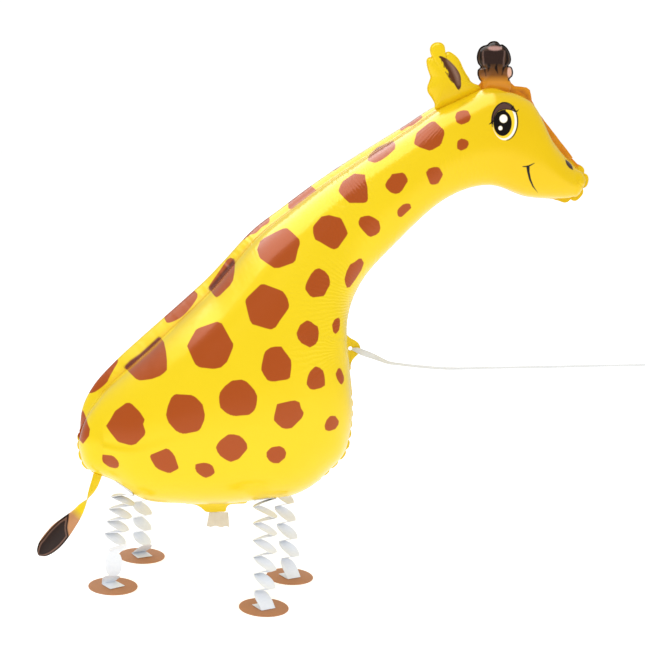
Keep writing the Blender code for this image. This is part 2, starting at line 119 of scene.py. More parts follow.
def new_piece(name, points, faces, material, sharp=40):
    """A closed mesh with its faces pointing out, smooth but for its sharper edges."""
    mesh = bpy.data.meshes.new(name)
    mesh.from_pydata([tuple(p) for p in points], [], faces)
    work = bmesh.new()
    work.from_mesh(mesh)
    bmesh.ops.recalc_face_normals(work, faces=work.faces)
    if work.calc_volume(signed=True) < 0:
        bmesh.ops.reverse_faces(work, faces=work.faces)
    work.to_mesh(mesh)
    work.free()
    mesh.materials.append(material)
    mesh.shade_smooth()
    mesh.set_sharp_from_angle(angle=math.radians(sharp))
    piece = bpy.data.objects.new(name, mesh)
    bpy.context.scene.collection.objects.link(piece)
    return piece


def ring_faces(around, rings, closed=False):
    """Faces along a run of rings of points, with a face over each end unless the run is closed."""
    faces = []
    for i in range(rings if closed else rings - 1):
        a, b = around * i, around * ((i + 1) % rings)
        faces += [(a + k, a + (k + 1) % around, b + (k + 1) % around, b + k) for k in range(around)]
    if not closed:
        end = around * (rings - 1)
        faces += [tuple(range(around)), tuple(range(end + around - 1, end - 1, -1))]
    return faces


def colour(code):
    """A linear colour from its sRGB code."""
    out = []
    for k in (0, 2, 4):
        part = int(code[k:k + 2], 16) / 255
        out.append(part / 12.92 if part <= 0.04045 else ((part + 0.055) / 1.055) ** 2.4)
    return (*out, 1.0)


def add_node(material, kind, inputs=None, **settings):
    """Adds a node with its settings; each input is a value or the socket that it is linked to."""
    node = material.node_tree.nodes.new(kind)
    for name, value in settings.items():
        setattr(node, name, value)
    for socket, value in (inputs or {}).items():
        if isinstance(value, bpy.types.NodeSocket):
            material.node_tree.links.new(value, node.inputs[socket])
        else:
            node.inputs[socket].default_value = value
    return node


def new_material(name, roughness, metallic=0.0, **others):
    material = bpy.data.materials.new(name)
    material.use_nodes = True
    shader = material.node_tree.nodes["Principled BSDF"]
    shader.inputs["Roughness"].default_value = roughness
    shader.inputs["Metallic"].default_value = metallic
    for socket, value in others.items():
        shader.inputs[socket.replace("_", " ")].default_value = value
    return material, shader


def blend_colours(material, share, first, second):
    """Goes from the first colour to the second as the share goes from 0 to 1."""
    mix = add_node(material, "ShaderNodeMix", {0: share, 6: first, 7: second}, data_type="RGBA")
    return mix.outputs[2]


def lay_bump(material, shader, height, strength, distance):
    relief = {"Height": height, "Strength": strength, "Distance": distance}
    bump = add_node(material, "ShaderNodeBump", relief)
    material.node_tree.links.new(bump.outputs["Normal"], shader.inputs["Normal"])


def strap(name, middles, widths, thickness, material):
    """A flat strap swept along its middle line; each of widths is the vector across half of it."""
    points = []
    count = len(middles)
    for i in range(count):
        along = Vector(middles[min(i + 1, count - 1)] - middles[max(i - 1, 0)]).normalized()
        half = Vector(widths[i])
        face = along.cross(half).normalized() * thickness / 2
        centre = Vector(middles[i])
        for side in (-1, 1):
            ways = range(-2, 3) if side < 0 else range(2, -3, -1)
            points += [centre + half * (way / 2) + face * side for way in ways]
    return new_piece(name, points, ring_faces(len(points) // count, count), material)


# Polypropylene, slit from drawn film: soft and white, with hardly a shine, and with fine fibres along
# its length. They are about 170 mm long and 1.1 mm apart, as coarse as they need to be to show.
FIBRES_PER_METRE = (6.0, 900.0, 900.0)
ribbon_white, shader = new_material("ribbon_polypropylene", 0.5, Specular_IOR_Level=0.12)
place = add_node(ribbon_white, "ShaderNodeTexCoord").outputs["Object"]
drawn = add_node(ribbon_white, "ShaderNodeMapping", {"Vector": place, "Scale": FIBRES_PER_METRE})
fibres = add_node(
    ribbon_white, "ShaderNodeTexNoise", {"Vector": drawn.outputs[0], "Scale": 1.0, "Detail": 3.0},
)
shade = blend_colours(ribbon_white, fibres.outputs["Fac"], colour("C4C6C8"), colour("E0E1E0"))
ribbon_white.node_tree.links.new(shade, shader.inputs["Base Color"])
lay_bump(ribbon_white, shader, fibres.outputs["Fac"], 0.25, 0.0002)

route = smooth_line([(*p, *more) for p, *more in zip(RIBBON_ROUTE, RIBBON_TURNS, RIBBON_GATHERS)], 10)
ribbon_middles = route[:, :3] * MM
ribbon_middles[:, 1] += RIBBON_SHIFT
half_widths = []
for i, turn in enumerate(np.radians(route[:, 3])):
    before, after = ribbon_middles[max(i - 1, 0)], ribbon_middles[min(i + 1, len(route) - 1)]
    level_across = Vector((0, 1, 0))
    raised = level_across.cross(Vector(after - before)).normalized()
    raised = raised if raised.z > 0 else -raised
    across = raised * math.cos(turn) + level_across * math.sin(turn)
    half_widths.append(across * route[i, 4] * RIBBON_WIDTH / 2)
ribbon = strap("ribbon_run", ribbon_middles, half_widths, RIBBON_THICKNESS, ribbon_white)


# Knot and hand loop
# The same ribbon, tied in an overhand knot just past the edge of the picture, and the loop beyond it
# that the hand holds.
KNOT_DIAMETER = 0.011
LOOP_LENGTH = 0.050
LOOP_WIDTH = 0.030
KNOT_GAP = 0.0003
LOOP_TUBE = 0.0040
LOOP_RIBBON_WIDTH = 0.8 * RIBBON_WIDTH
LOOP_LEAN = 0.35
KNOT_STEPS = 90
KNOT_AROUND = 12
KNOT_SIZE = 0.00128
KNOT_STRAND = (0.00155, 0.00105)
LOOP_STEPS = 72

knot_middle = Vector(ribbon_middles[-1]) + Vector((KNOT_GAP + KNOT_DIAMETER / 2, 0, 0))
knot_points = []
for i in range(KNOT_STEPS):
    angle = 2 * math.pi * i / KNOT_STEPS
    path = []
    for part in (-0.01, 0.0, 0.01):
        t = angle + part
        path.append(Vector((
            math.cos(3 * t) * 0.55,
            math.sin(t) + 2 * math.sin(2 * t),
            math.cos(t) - 2 * math.cos(2 * t),
        )))
    along = (path[2] - path[0]).normalized()
    outward = path[1].normalized()
    outward = (outward - along * outward.dot(along)).normalized()
    across = along.cross(outward)
    for k in range(KNOT_AROUND):
        spin = 2 * math.pi * k / KNOT_AROUND
        offset = across * math.cos(spin) * KNOT_STRAND[0] + outward * math.sin(spin) * KNOT_STRAND[1]
        knot_points.append(knot_middle + path[1] * KNOT_SIZE + offset)
knot_faces = ring_faces(KNOT_AROUND, KNOT_STEPS, closed=True)
knot = new_piece("ribbon_knot_tied", knot_points, knot_faces, ribbon_white)

loop_start = knot_middle.x + KNOT_DIAMETER / 2 + KNOT_GAP + LOOP_TUBE / 2
loop_points = []
for i in range(LOOP_STEPS):
    place = []
    for part in (-0.02, 0.0, 0.02):
        angle = 2 * math.pi * i / LOOP_STEPS + part
        reach = (1 - math.cos(angle)) / 2
        wide = math.sin(angle) * (0.55 + 0.45 * reach)
        place.append(Vector((
            loop_start + LOOP_LENGTH * reach, knot_middle.y, knot_middle.z + LOOP_WIDTH / 2 * wide,
        )))
    along = (place[2] - place[0]).normalized()
    lean = LOOP_LEAN * math.sin(2 * math.pi * i / LOOP_STEPS)
    across = Vector((0, math.cos(lean), 0)) + along.cross(Vector((0, 1, 0))) * math.sin(lean)
    face = along.cross(across).normalized()
    ring = [(-1, -1), (0, -1), (1, -1), (1, 1), (0, 1), (-1, 1)]
    loop_points += [
        place[1] + across * a * LOOP_RIBBON_WIDTH / 2 + face * b * RIBBON_THICKNESS / 2 for a, b in ring
    ]
loop_faces = ring_faces(len(ring), LOOP_STEPS, closed=True)
loop = new_piece("ribbon_hand_loop", loop_points, loop_faces, ribbon_white)

for piece, node in ((ribbon, "ribbon"), (knot, "ribbon_knot"), (loop, "ribbon_loop")):
    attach(piece, "root")
    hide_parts(node)


# Balloon envelope
# Two panels of printed yellow foil, heat-sealed along one edge and blown up. The seal gathers the foil
# into small scallops on the chest, the lips and the rump, and into pleats where the outline bends in.

# Stations of the body in millimetres: the back and the belly, each as (x, z), and half the thickness.
STATIONS = (
    ((-291, 272), (-262, 145), 58),
    ((-265, 304), (-217, 119), 78),
    ((-234, 336), (-166, 115.5), 92),
    ((-204, 366), (-110, 117), 100),
    ((-176, 394), (-58, 125), 104),
    ((-151, 420), (-11, 134), 104),
    ((-128, 447), (27, 164), 102),
    ((-92, 490), (57, 228), 96),
    ((-53, 523), (51, 303), 86),
    ((-8, 560), (42, 372), 75),
    ((41, 596), (57, 426), 66),
    ((100, 637), (97, 478), 62),
    ((154, 674), (158, 540), 58),
    ((214, 693), (218, 566), 56),
    ((265, 686), (277, 557), 51),
    ((300, 636), (318, 555), 40),
    ((334, 602), (339, 557), 27),
)
RUMP = ((-296, 160), (-308, 185), (-311, 210), (-307, 240))
LIPS = ((346, 561), (352, 572), (354, 584), (347, 594))
# How deep the seal lies at each station, as shares of the valley's depth.
BACK_VALLEY = (1.67, *(1.0,) * 12, 0.3, 0.2, 0.1, 0.0)
BELLY_VALLEY = (0.3, 0.8, 0.8, 0.8, 0.6, 0.2, 0.0, 0.0, 0.1, 0.7, 0.9, 0.9, 0.8, 0.6, 0.3, 0.0, 0.0)
RUMP_VALLEY = (0.2, 0.5, 0.9, 1.4)
# How wide the rim is round the brow, from the horn to the lips.
BROW_STATIONS = (13, 14, 14.4, 15, 16)
BROW_RIM = (0.0050, 0.0050, 0.0020, 0.0052, 0.0062)
SEAM_WIDTH = 0.006
SEAM_THICKNESS = 0.0012
VALLEY_DEPTH = 0.009
VALLEY_WIDTH = 0.018
SECTION_POWER = 2.25
SIDE_ANGLES = (0.7, 1.5, 2.5, 4, 6, 8.5, *(11 + 2.5 * k for k in range(31)))
LEVEL_OF_HEAD = 0.62
HORN_BULGE_X, HORN_BULGE_WIDTH, HORN_BULGE = 0.208, 0.024, 0.0075
# More bulges of the panels: the place and width in stations, and the height.
BULGES = ((23.2, 0.8, 0.0045), (30.5, 0.33, 0.0055))
PLEAT_HEIGHT = 0.00062
PLEAT_REACH = 0.052
SCALLOP_RUN_IN = 0.25
SCALLOP_REACH = 0.009
CREASE_DEPTH = 0.0020
CREASE_REACH = 0.011
RIM_RUN_IN = 0.004
BACK_WALL_END = 13.5
RUMP_WALL_RUN = 2.6
FAR_WALL_SHARE = 0.15
# How strongly the seal is gathered into pleats at each station, along the back and along the belly.
BACK_PLEATS = (0.2, 0.1, 0.1, 0.1, 0.1, 0.15, 0.2, 0.25, 0.4, 0.9, 1.4, 0.9, 0.3, 0.1, 0.1, 0.2, 0.2)
BELLY_PLEATS = (0.3, 0.2, 0.2, 0.2, 0.2, 0.2, 0.2, 0.4, 1.2, 1.9, 1.7, 1.4, 1.3, 0.6, 0.2, 0.2, 0.2)
LAST = len(STATIONS) - 1
LIPS_END = LAST + len(LIPS) + 1
BELLY_END = LIPS_END + LAST
ROUND = BELLY_END + len(RUMP) + 1
FINE = 96
# Stretches of the seal with scallops, in stations round the outline, and their pitch and depth: the
# lips, the chest and the rump.
SCALLOPED = (
    (LAST + 0.2, LIPS_END + 1.0, 0.0190, 0.0040),
    (29.3, 33.1, 0.0150, 0.0034),
    (BELLY_END + 0.5, BELLY_END + 3.4, 0.0140, 0.0022),
)
# Up to the horn the seal's depth along the back is given outright: it is deeper where the body is thick.
BACK_DEPTHS = (
    0.015, 0.018, 0.019, 0.018, 0.017, 0.016, 0.014, 0.012, 0.010, 0.009, 0.008, 0.007, 0.005, 0.003,
)
# Under the chin and the throat, along the back and on the rump the rim is trimmed close: the share that
# is cut off, then where that starts and ends, each with its run-in, in stations.
RIM_TRIMS = (
    (0.9, 21.6, 0.6, 27.5, 1.0),
    (0.5, 28, 0.6, 30.4, 0.5),
    (0.2, 31, 0.4, 33, 1.0),
    (0.96, -1, 0.6, 12.9, 0.6),
    (0.96, ROUND - 2.2, 0.8, ROUND + 1, 0.8),
)


def outward_of(outline):
    """Unit vectors that point out of a closed outline in the X-Z plane."""
    along = np.roll(outline, -1, axis=0) - np.roll(outline, 1, axis=0)
    along /= np.linalg.norm(along, axis=1)[:, None]
    normal = np.stack([-along[:, 1], along[:, 0]], axis=1)
    following = np.roll(outline, -1, axis=0)
    area = np.sum(outline[:, 0] * following[:, 1] - following[:, 0] * outline[:, 1])
    return -normal if area > 0 else normal


def stretch(start, run_in, end, run_out):
    """1 within a stretch of the seal and 0 outside it."""
    return np.clip((seal_at - start) / run_in, 0, 1) * np.clip((end - seal_at) / run_out, 0, 1)


back, belly = [row[0] for row in STATIONS], [row[1] for row in STATIONS[::-1]]
body_rows = back + list(LIPS[::-1]) + belly + list(RUMP)
valleys = BACK_VALLEY + (0.0,) * len(LIPS) + BELLY_VALLEY[::-1] + RUMP_VALLEY
pleats = BACK_PLEATS + (0.3,) * len(LIPS) + BELLY_PLEATS[::-1] + (0.3,) * len(RUMP)
around = smooth_line([(*row, v, p) for row, v, p in zip(body_rows, valleys, pleats)], FINE, closed=True)
seal_at = np.arange(len(around)) / FINE
outline = around[:, :2] * MM
# The panels bulge up a little more against the horn's root.
from_horn = (outline[:, 0] - HORN_BULGE_X) / HORN_BULGE_WIDTH
outline[:, 1] += HORN_BULGE * np.exp(-(from_horn**2)) * (outline[:, 1] > LEVEL_OF_HEAD)
out = outward_of(outline)
# So do the jaw and the lower chest, by a few millimetres.
for place, wide, high in BULGES:
    outline += out * (high * np.exp(-(((seal_at - place) / wide) ** 2)))[:, None]
out = outward_of(outline)
arc = np.concatenate([[0], np.cumsum(np.linalg.norm(np.diff(outline, axis=0), axis=1))])
gather = np.zeros(len(around))
scallop_depth = np.zeros(len(around))
# The pitch wanders a little, so that no two scallops are alike, and neither are two pleats.
wander = arc + 0.0022 * np.sin(arc / 0.019) + 0.0016 * np.sin(arc / 0.031 + 1.0)
for start, end, pitch, depth in SCALLOPED:
    rise = stretch(start, SCALLOP_RUN_IN, end, SCALLOP_RUN_IN)
    gather += rise * (1 - np.abs(np.sin(math.pi * wander / pitch))) ** 2
    scallop_depth[rise > 0] = depth
pleat_wave = (
    np.sin(2 * math.pi * arc / 0.0091 + 1.7 * np.sin(arc / 0.023))
    + 0.7 * np.sin(2 * math.pi * arc / 0.0143 + 2.0 * np.sin(arc / 0.037 + 0.6))
    + 0.5 * np.sin(2 * math.pi * arc / 0.0063 + 1.2)
)
pleat_height = np.clip(around[:, 3], 0, None) * pleat_wave * PLEAT_HEIGHT
smooth_outline = outline
outline = outline - out * (gather * scallop_depth)[:, None]
valley_depth = np.clip(around[:, 2], 0, 2) * VALLEY_DEPTH
on_back = seal_at < len(BACK_DEPTHS)
valley_depth[on_back] = np.interp(seal_at[on_back], range(len(BACK_DEPTHS)), BACK_DEPTHS)
seal = outline - out * valley_depth[:, None]
rim = np.full(len(around), SEAM_WIDTH)
brow = (seal_at >= BROW_STATIONS[0]) & (seal_at <= BROW_STATIONS[-1])
rim[brow] = np.interp(seal_at[brow], BROW_STATIONS, BROW_RIM)
for cut, *ends in RIM_TRIMS:
    rim *= 1 - cut * stretch(*ends)
rim_edge = seal + out * rim[:, None]
middle_rows = [((a[0] + b[0]) / 2, (a[1] + b[1]) / 2, half) for a, b, half in STATIONS]
middles = smooth_line(middle_rows, FINE) * MM


def sample(values, at, closed=True):
    """Values between the samples of a smooth line."""
    if closed:
        values = np.concatenate([values, values[:1]])
    grid = np.arange(len(values)) / FINE
    if values.ndim == 1:
        return np.interp(at, grid, values)
    return np.stack([np.interp(at, grid, values[:, k]) for k in range(values.shape[1])], axis=1)


def foil_surface(at, turn, side):
    """Points of the blown-up panels: at is the place round the seal, in stations, and turn goes from 0 at
    the seal to 90 at the panel's crest; a negative turn is the edge of the flat rim."""
    slices = np.where(at <= BELLY_END, BELLY_END - at, 0)
    slices = np.where(at <= LAST, at, np.where(at <= LIPS_END, LAST, slices))
    middle = sample(middles, slices, closed=False)
    line, sealed, edge = sample(outline, at), sample(seal, at), sample(rim_edge, at)
    angle = np.radians(np.clip(turn, 0, 90))
    across = np.cos(angle) ** (2 / SECTION_POWER)
    deep = np.sin(angle) ** (2 / SECTION_POWER)
    half = middle[:, 2]
    depth = np.maximum(deep * half, SEAM_THICKNESS / 2)
    # Along the back and the rump the near wall slopes gently down to the seal, and the far one is steep.
    lean = np.clip(BACK_WALL_END - at, 0, 1) + np.clip((at - ROUND + RUMP_WALL_RUN) / RUMP_WALL_RUN, 0, 1)
    wall_width = np.where(side < 0, half, FAR_WALL_SHARE * half + 0.001)
    width = VALLEY_WIDTH + (wall_width - VALLEY_WIDTH) * np.clip(lean, 0, 1)
    sink = (line - sealed) * np.exp(-((depth / width) ** 2))[:, None]
    plain = sample(smooth_outline, at)
    notch = (plain - line) * np.exp(-((depth / SCALLOP_REACH) ** 2))[:, None]
    place = middle[:, :2] + (plain - middle[:, :2]) * across[:, None] - notch - sink
    inward = np.linalg.norm(plain - middle[:, :2], axis=1) * (1 - across) + depth
    rise = 1 - np.exp(-inward / RIM_RUN_IN)
    depth = depth - CREASE_DEPTH * sample(gather, at) * rise * np.exp(-inward / CREASE_REACH)
    depth = depth + sample(pleat_height, at) * rise * np.exp(-((inward / PLEAT_REACH) ** 2))
    depth = np.maximum(depth, SEAM_THICKNESS / 2)
    flat = turn < 0
    place[flat] = edge[flat]
    depth[flat] = SEAM_THICKNESS / 2
    return np.stack([place[:, 0], side * depth, place[:, 1]], axis=1)


# Slices between two stations: more of them where the seal has scallops, pleats or the eye.
SLICES = (14, 14, 14, 14, 14, 26, 36, 36, 36, 34, 26, 14, 14, 16, 16, 14)
LIPS_SLICES = 60
RUMP_SLICES = 76
back_at = np.concatenate([[k + s / n for s in range(n)] for k, n in enumerate(SLICES)] + [[LAST]])
lips_at = LAST + np.arange(1, LIPS_SLICES) / LIPS_SLICES * (LIPS_END - LAST)
rump_at = BELLY_END + np.arange(1, RUMP_SLICES) / RUMP_SLICES * (ROUND - BELLY_END)
column_at = np.concatenate([back_at, lips_at, BELLY_END - back_at[::-1], rump_at])
crest = list(range(len(back_at)))
column_slice = crest + [crest[-1]] * len(lips_at) + crest[::-1] + [0] * len(rump_at)
columns = len(column_at)
turns = (-1.0, 0.0) + SIDE_ANGLES
vertex_at, vertex_turn, vertex_side, faces = [], [], [], []
rims = []
for side in (-1, 1):
    rings = []
    for turn in turns:
        first = len(vertex_at)
        vertex_at += list(column_at)
        vertex_turn += [turn] * columns
        vertex_side += [side] * columns
        rings.append(range(first, first + columns))
    first = len(vertex_at)
    vertex_at += list(back_at)
    vertex_turn += [90.0] * len(back_at)
    vertex_side += [side] * len(back_at)
    for i in range(columns):
        j = (i + 1) % columns
        faces += [(a[i], a[j], b[j], b[i]) for a, b in zip(rings[:-1], rings[1:])]
        here, there = first + column_slice[i], first + column_slice[j]
        tip = [here] if here == there else [there, here]
        faces.append((rings[-1][i], rings[-1][j], *tip))
    rims.append(rings[0])
for i in range(columns):
    j = (i + 1) % columns
    faces.append((rims[0][i], rims[0][j], rims[1][j], rims[1][i]))
vertex_at = np.array(vertex_at)
vertex_turn = np.array(vertex_turn)
vertex_side = np.array(vertex_side, float)
foil_points = foil_surface(vertex_at, vertex_turn, vertex_side)


def picture_place(points):
    """Where points show in the photographer's picture, in pixels. The print is laid out in these."""
    away = points - np.array(view_place)
    depth = -away @ np.array(view_back)
    return np.stack([
        PICTURE_SIDE / 2 + FOCAL_PIXELS * (away @ np.array(view_right)) / depth,
        PICTURE_SIDE / 2 - FOCAL_PIXELS * (away @ np.array(view_up)) / depth,
    ], axis=1)


def mirrored(points):
    """The points of both panels, brought to the near one."""
    return np.stack([points[:, 0], -np.abs(points[:, 1]), points[:, 2]], axis=1)


# The printed face is fine, so the foil's grid is split there: the eye, then the mouth.
FINE_PRINT = ((485, 100, 521, 143), (520, 160, 541, 196))
work = bmesh.new()
slice_layer = work.verts.layers.float.new("slice")
turn_layer = work.verts.layers.float.new("turn")
side_layer = work.verts.layers.float.new("side")
on_slices = (vertex_at <= LAST) | ((vertex_at >= LIPS_END) & (vertex_at <= BELLY_END))
slice_of = np.where(vertex_at <= LAST, vertex_at, BELLY_END - vertex_at)
turn_of = np.where(vertex_at <= LAST, vertex_turn, 180 - vertex_turn)
turn_of[vertex_turn == 90] = 90
turn_of[vertex_turn < 0] = -1
picture = picture_place(mirrored(foil_points))
fine = np.zeros(len(foil_points), bool)
for left, top, right, bottom in FINE_PRINT:
    fine |= np.all((picture > (left, top)) & (picture < (right, bottom)), axis=1)
fine &= on_slices & (vertex_turn > 2)
verts = [work.verts.new(tuple(p)) for p in foil_points]
for vert, *values in zip(verts, slice_of, turn_of, vertex_side):
    vert[slice_layer], vert[turn_layer], vert[side_layer] = values
work.verts.index_update()
for face in faces:
    work.faces.new([verts[k] for k in face])
fine_faces = [face for face in work.faces if all(fine[vert.index] for vert in face.verts)]
edges = list({edge for face in fine_faces for edge in face.edges})
old = len(verts)
bmesh.ops.subdivide_edges(work, edges=edges, cuts=5, use_grid_fill=True)
work.verts.index_update()
added = [vert for vert in work.verts if vert.index >= old]
layers = (slice_layer, turn_layer, side_layer)
added_slice, added_turn, added_side = (np.array([vert[layer] for vert in added]) for layer in layers)
upper = added_turn <= 90
moved = foil_surface(
    np.where(upper, added_slice, BELLY_END - added_slice),
    np.where(upper, added_turn, 180 - added_turn),
    np.sign(added_side),
)
for vert, place in zip(added, moved):
    vert.co = place
bmesh.ops.recalc_face_normals(work, faces=work.faces)
if work.calc_volume(signed=True) < 0:
    bmesh.ops.reverse_faces(work, faces=work.faces)
for layer in ("slice", "turn", "side"):
    work.verts.layers.float.remove(work.verts.layers.float[layer])
envelope_mesh = bpy.data.meshes.new("foil_envelope")
work.to_mesh(envelope_mesh)
work.free()
envelope_mesh.shade_smooth()
envelope_mesh.set_sharp_from_angle(angle=math.radians(50))
envelope = bpy.data.objects.new("foil_envelope", envelope_mesh)
bpy.context.scene.collection.objects.link(envelope)

# The print: outlines in picture pixels, laid on the foil as distances up to so many pixels from them.
# First the brown spots of the near panel.
PRINT_REACH = 8.0
SPOTS = (
    ((106, 426), (110, 420), (115, 411), (126, 403), (129, 402.5), (132, 404), (140, 412), (145, 420),
     (143, 424), (146, 433), (144, 436), (140, 440), (136, 444), (131, 445.5), (118, 442), (114, 437),
     (110, 432)),
    ((175, 394), (192, 395), (196, 397.5), (202.5, 404), (205, 415), (204, 421), (200, 430),
     (197, 431.5), (184, 434), (180, 434), (175, 430), (168, 422), (166, 415), (167.5, 407), (171, 398)),
    ((187, 346), (190, 340), (196, 329.5), (200, 327.5), (217, 321.5), (222, 323.5), (231, 340),
     (234, 345), (230, 355), (227, 362), (221, 367.5), (214, 369), (200, 367.5), (196, 365.5),
     (193, 360)),
    ((219, 397), (220, 392), (225, 386), (232, 380.5), (242, 379.5), (246, 381), (251, 386), (256, 392),
     (257.5, 397), (256, 408), (254, 411), (249, 415), (231, 416.5), (228, 415), (222, 409),
     (219.5, 407)),
    ((102.5, 454.5), (113, 455.5), (118, 460.5), (119.5, 464.5), (118, 467.5), (115.5, 468.5),
     (109, 467), (103, 462.5), (102, 459)),
    ((150, 455), (167, 448), (170, 450), (174.5, 455), (179, 468.5), (169.5, 473.5), (161, 470.5),
     (156, 468), (150, 458)),
    ((195.5, 464), (204.5, 462.5), (211, 464), (213.5, 467), (215, 473), (211, 476), (206, 478),
     (201, 476), (195, 470.5)),
    ((216, 446), (220, 440.5), (228, 434.5), (232.5, 434), (241, 436), (246, 442), (248, 446),
     (247, 449.5), (239, 459), (231, 462), (226, 460), (219, 455), (216, 449)),
    ((257, 249.5), (260, 241.5), (264, 238), (276.5, 231.5), (283, 228.5), (287, 228), (293, 233),
     (299.5, 239.5), (300, 244), (298, 249.5), (295.5, 260.5), (293, 263), (279, 268), (274, 268),
     (266.5, 263), (259.5, 258)),
    ((313, 227), (314.5, 224.5), (321.5, 216.5), (329, 215), (341, 218), (344.5, 225), (348, 233),
     (346.5, 236), (338, 248), (334, 249.5), (330, 248), (320, 242), (315, 239.5), (313, 233)),
    ((305, 287), (307, 281.5), (311, 274), (315, 269.5), (319, 268), (325.5, 271.5), (329.5, 277),
     (331, 281.5), (329.5, 286.5), (326.5, 290.5), (324.5, 296), (313, 297.5), (310, 296), (305.5, 290)),
    ((245, 300.5), (248, 296.5), (260.5, 284.5), (264, 284), (280, 290), (284, 292), (288, 299.5),
     (289.5, 307), (285.5, 313), (280, 320.5), (276, 327), (271.5, 329.5), (268, 329), (251.5, 324),
     (249.5, 319.5), (247, 309.5)),
    ((344.5, 279), (346.5, 271.5), (350, 264.5), (354.5, 262), (359, 258.5), (361.5, 258.5), (364, 263),
     (361.5, 270), (355.5, 279.5), (350, 287), (347, 288), (345, 283)),
    ((332, 325), (334.5, 319.5), (338, 317.5), (340, 318.5), (340, 325), (339, 330.5), (335.5, 334.5),
     (333, 331.5)),
    ((296.5, 333), (300, 325), (306.5, 320.5), (308.5, 320.5), (316.5, 324.5), (319, 328.5), (319, 333),
     (318, 340.5), (315.5, 344.5), (310, 347.5), (304.5, 345.5), (300, 342), (296.5, 336.5)),
    ((261, 368), (264, 354), (265.5, 351), (270.5, 347.5), (275.5, 346.5), (281.5, 346.5), (284.5, 351),
     (290, 358), (292, 362), (290, 378), (288, 379.5), (270, 382), (268, 381), (263.5, 374.5),
     (261.5, 371)),
    ((306.5, 383), (308, 375.5), (310, 371.5), (315, 366.5), (318.5, 366.5), (323.5, 371), (325, 379),
     (325, 385.5), (321, 388), (313, 390), (310, 389), (307, 386)),
    ((335.5, 374), (338, 368.5), (339.5, 367.5), (341.5, 370), (344, 376.5), (344, 381), (342, 384.5),
     (340, 384), (337, 379)),
    ((273.5, 419), (275.5, 410), (277, 404), (290, 401), (298, 400), (299.5, 402), (301, 408),
     (304, 413), (302, 418), (292, 428), (286.5, 429), (282, 428), (276.5, 423.5), (274, 420.5)),
    ((324.5, 425.5), (326.5, 420), (330, 416), (335, 415.5), (339, 421), (338.5, 424.5), (335.5, 429),
     (330, 431), (326, 431), (325, 429)),
    ((266.5, 452), (270, 448.5), (272, 447), (279.5, 446), (283.5, 447), (286.5, 453), (285, 458),
     (282, 460.5), (278.5, 463.5), (272, 463), (269, 460.5), (266.5, 456.5)),
    ((338.5, 190.5), (340.5, 185), (343, 181), (354, 173.5), (365, 174.5), (365.5, 179), (367.5, 187.5),
     (368, 200), (366, 202.5), (363, 203), (349.5, 203), (345, 199), (339.5, 193)),
    ((358, 223), (360, 217.5), (364.5, 216), (369, 215.5), (374, 217.5), (379, 221), (380.5, 227.5),
     (379.5, 232), (376, 235), (370.5, 237), (367.5, 235.5), (360.5, 228)),
    ((385, 185), (387.5, 180), (390, 177.5), (392, 174), (402.5, 172.5), (405, 174), (408.5, 180.5),
     (406, 184), (402.5, 190), (399.5, 193), (395.5, 194), (390.5, 192.5), (386, 188)),
    ((397, 211), (399, 208), (404, 203.5), (410, 203.5), (411.5, 208), (406, 213), (402, 217),
     (399, 217), (397.5, 215)),
    ((414, 142.5), (416.5, 133), (421, 129), (430.5, 121.5), (435, 121.5), (444, 130), (444.5, 134),
     (441, 145), (430.5, 151), (420, 147.5), (414.5, 144.5)),
    ((425.5, 172), (428, 169), (433, 167), (439, 167), (443, 174), (442.5, 176), (438, 184), (433, 185),
     (430, 184), (427, 176)),
    ((455, 117), (456.5, 112.5), (462, 110), (468, 110.5), (471, 116.5), (469.5, 121.5), (462, 125),
     (456.5, 122.5)),
    ((457, 144.5), (457.5, 141), (462, 138), (468, 140.5), (469, 144.5), (467, 148), (461.5, 151),
     (457, 148.5)),
)
# Spots that the seal cuts, so both panels carry a part of each.
SEAM_SPOTS = (
    ((124, 367), (130, 361), (140, 354), (150, 345), (158.5, 337), (161, 338), (164, 342), (166, 351),
     (167, 360), (167, 370), (164, 373), (160, 376), (152, 379), (145, 380), (140, 380.5), (136, 379),
     (130, 373)),
    ((83, 410), (85.5, 416), (88, 424.5), (90, 429), (89, 436), (83, 444), (79.5, 440), (77, 435),
     (73, 429), (76, 417)),
    ((208, 288), (211, 283), (220, 270), (227, 259.5), (230.5, 257.5), (234, 259), (235, 263),
     (234.5, 272), (233, 280.5), (230, 285.5), (220, 295.5), (216.5, 297.5), (214.5, 296), (211, 291.5)),
    ((367.5, 159), (370, 154.5), (377.5, 147.5), (386, 144), (393, 140.5), (395.5, 144), (395, 149),
     (387.5, 156), (381, 160.5), (375, 163), (368, 161)),
)
# Spots of the far panel that show over the back.
FAR_SPOTS = (
    ((165.5, 321.5), (172, 322), (184, 315), (196, 300), (197, 293), (186, 290), (166, 308)),
    ((92, 393), (102, 387), (108, 381), (108.5, 379), (114, 369), (118, 362), (118, 360), (109, 352),
     (92, 370), (82, 390)),
    ((242, 240), (250, 235), (256, 233), (262, 227), (268.5, 223), (269, 217), (258, 214), (240, 228)),
    ((288, 206), (291, 209), (297, 205), (300, 203), (307.5, 197), (315.5, 192), (316, 190), (306, 184),
     (292, 193)),
    ((333, 171), (341, 165.5), (338, 160), (330, 166)),
    ((401, 131), (408, 126.5), (412, 126), (421, 119), (423, 116), (412, 114), (400, 124)),
)


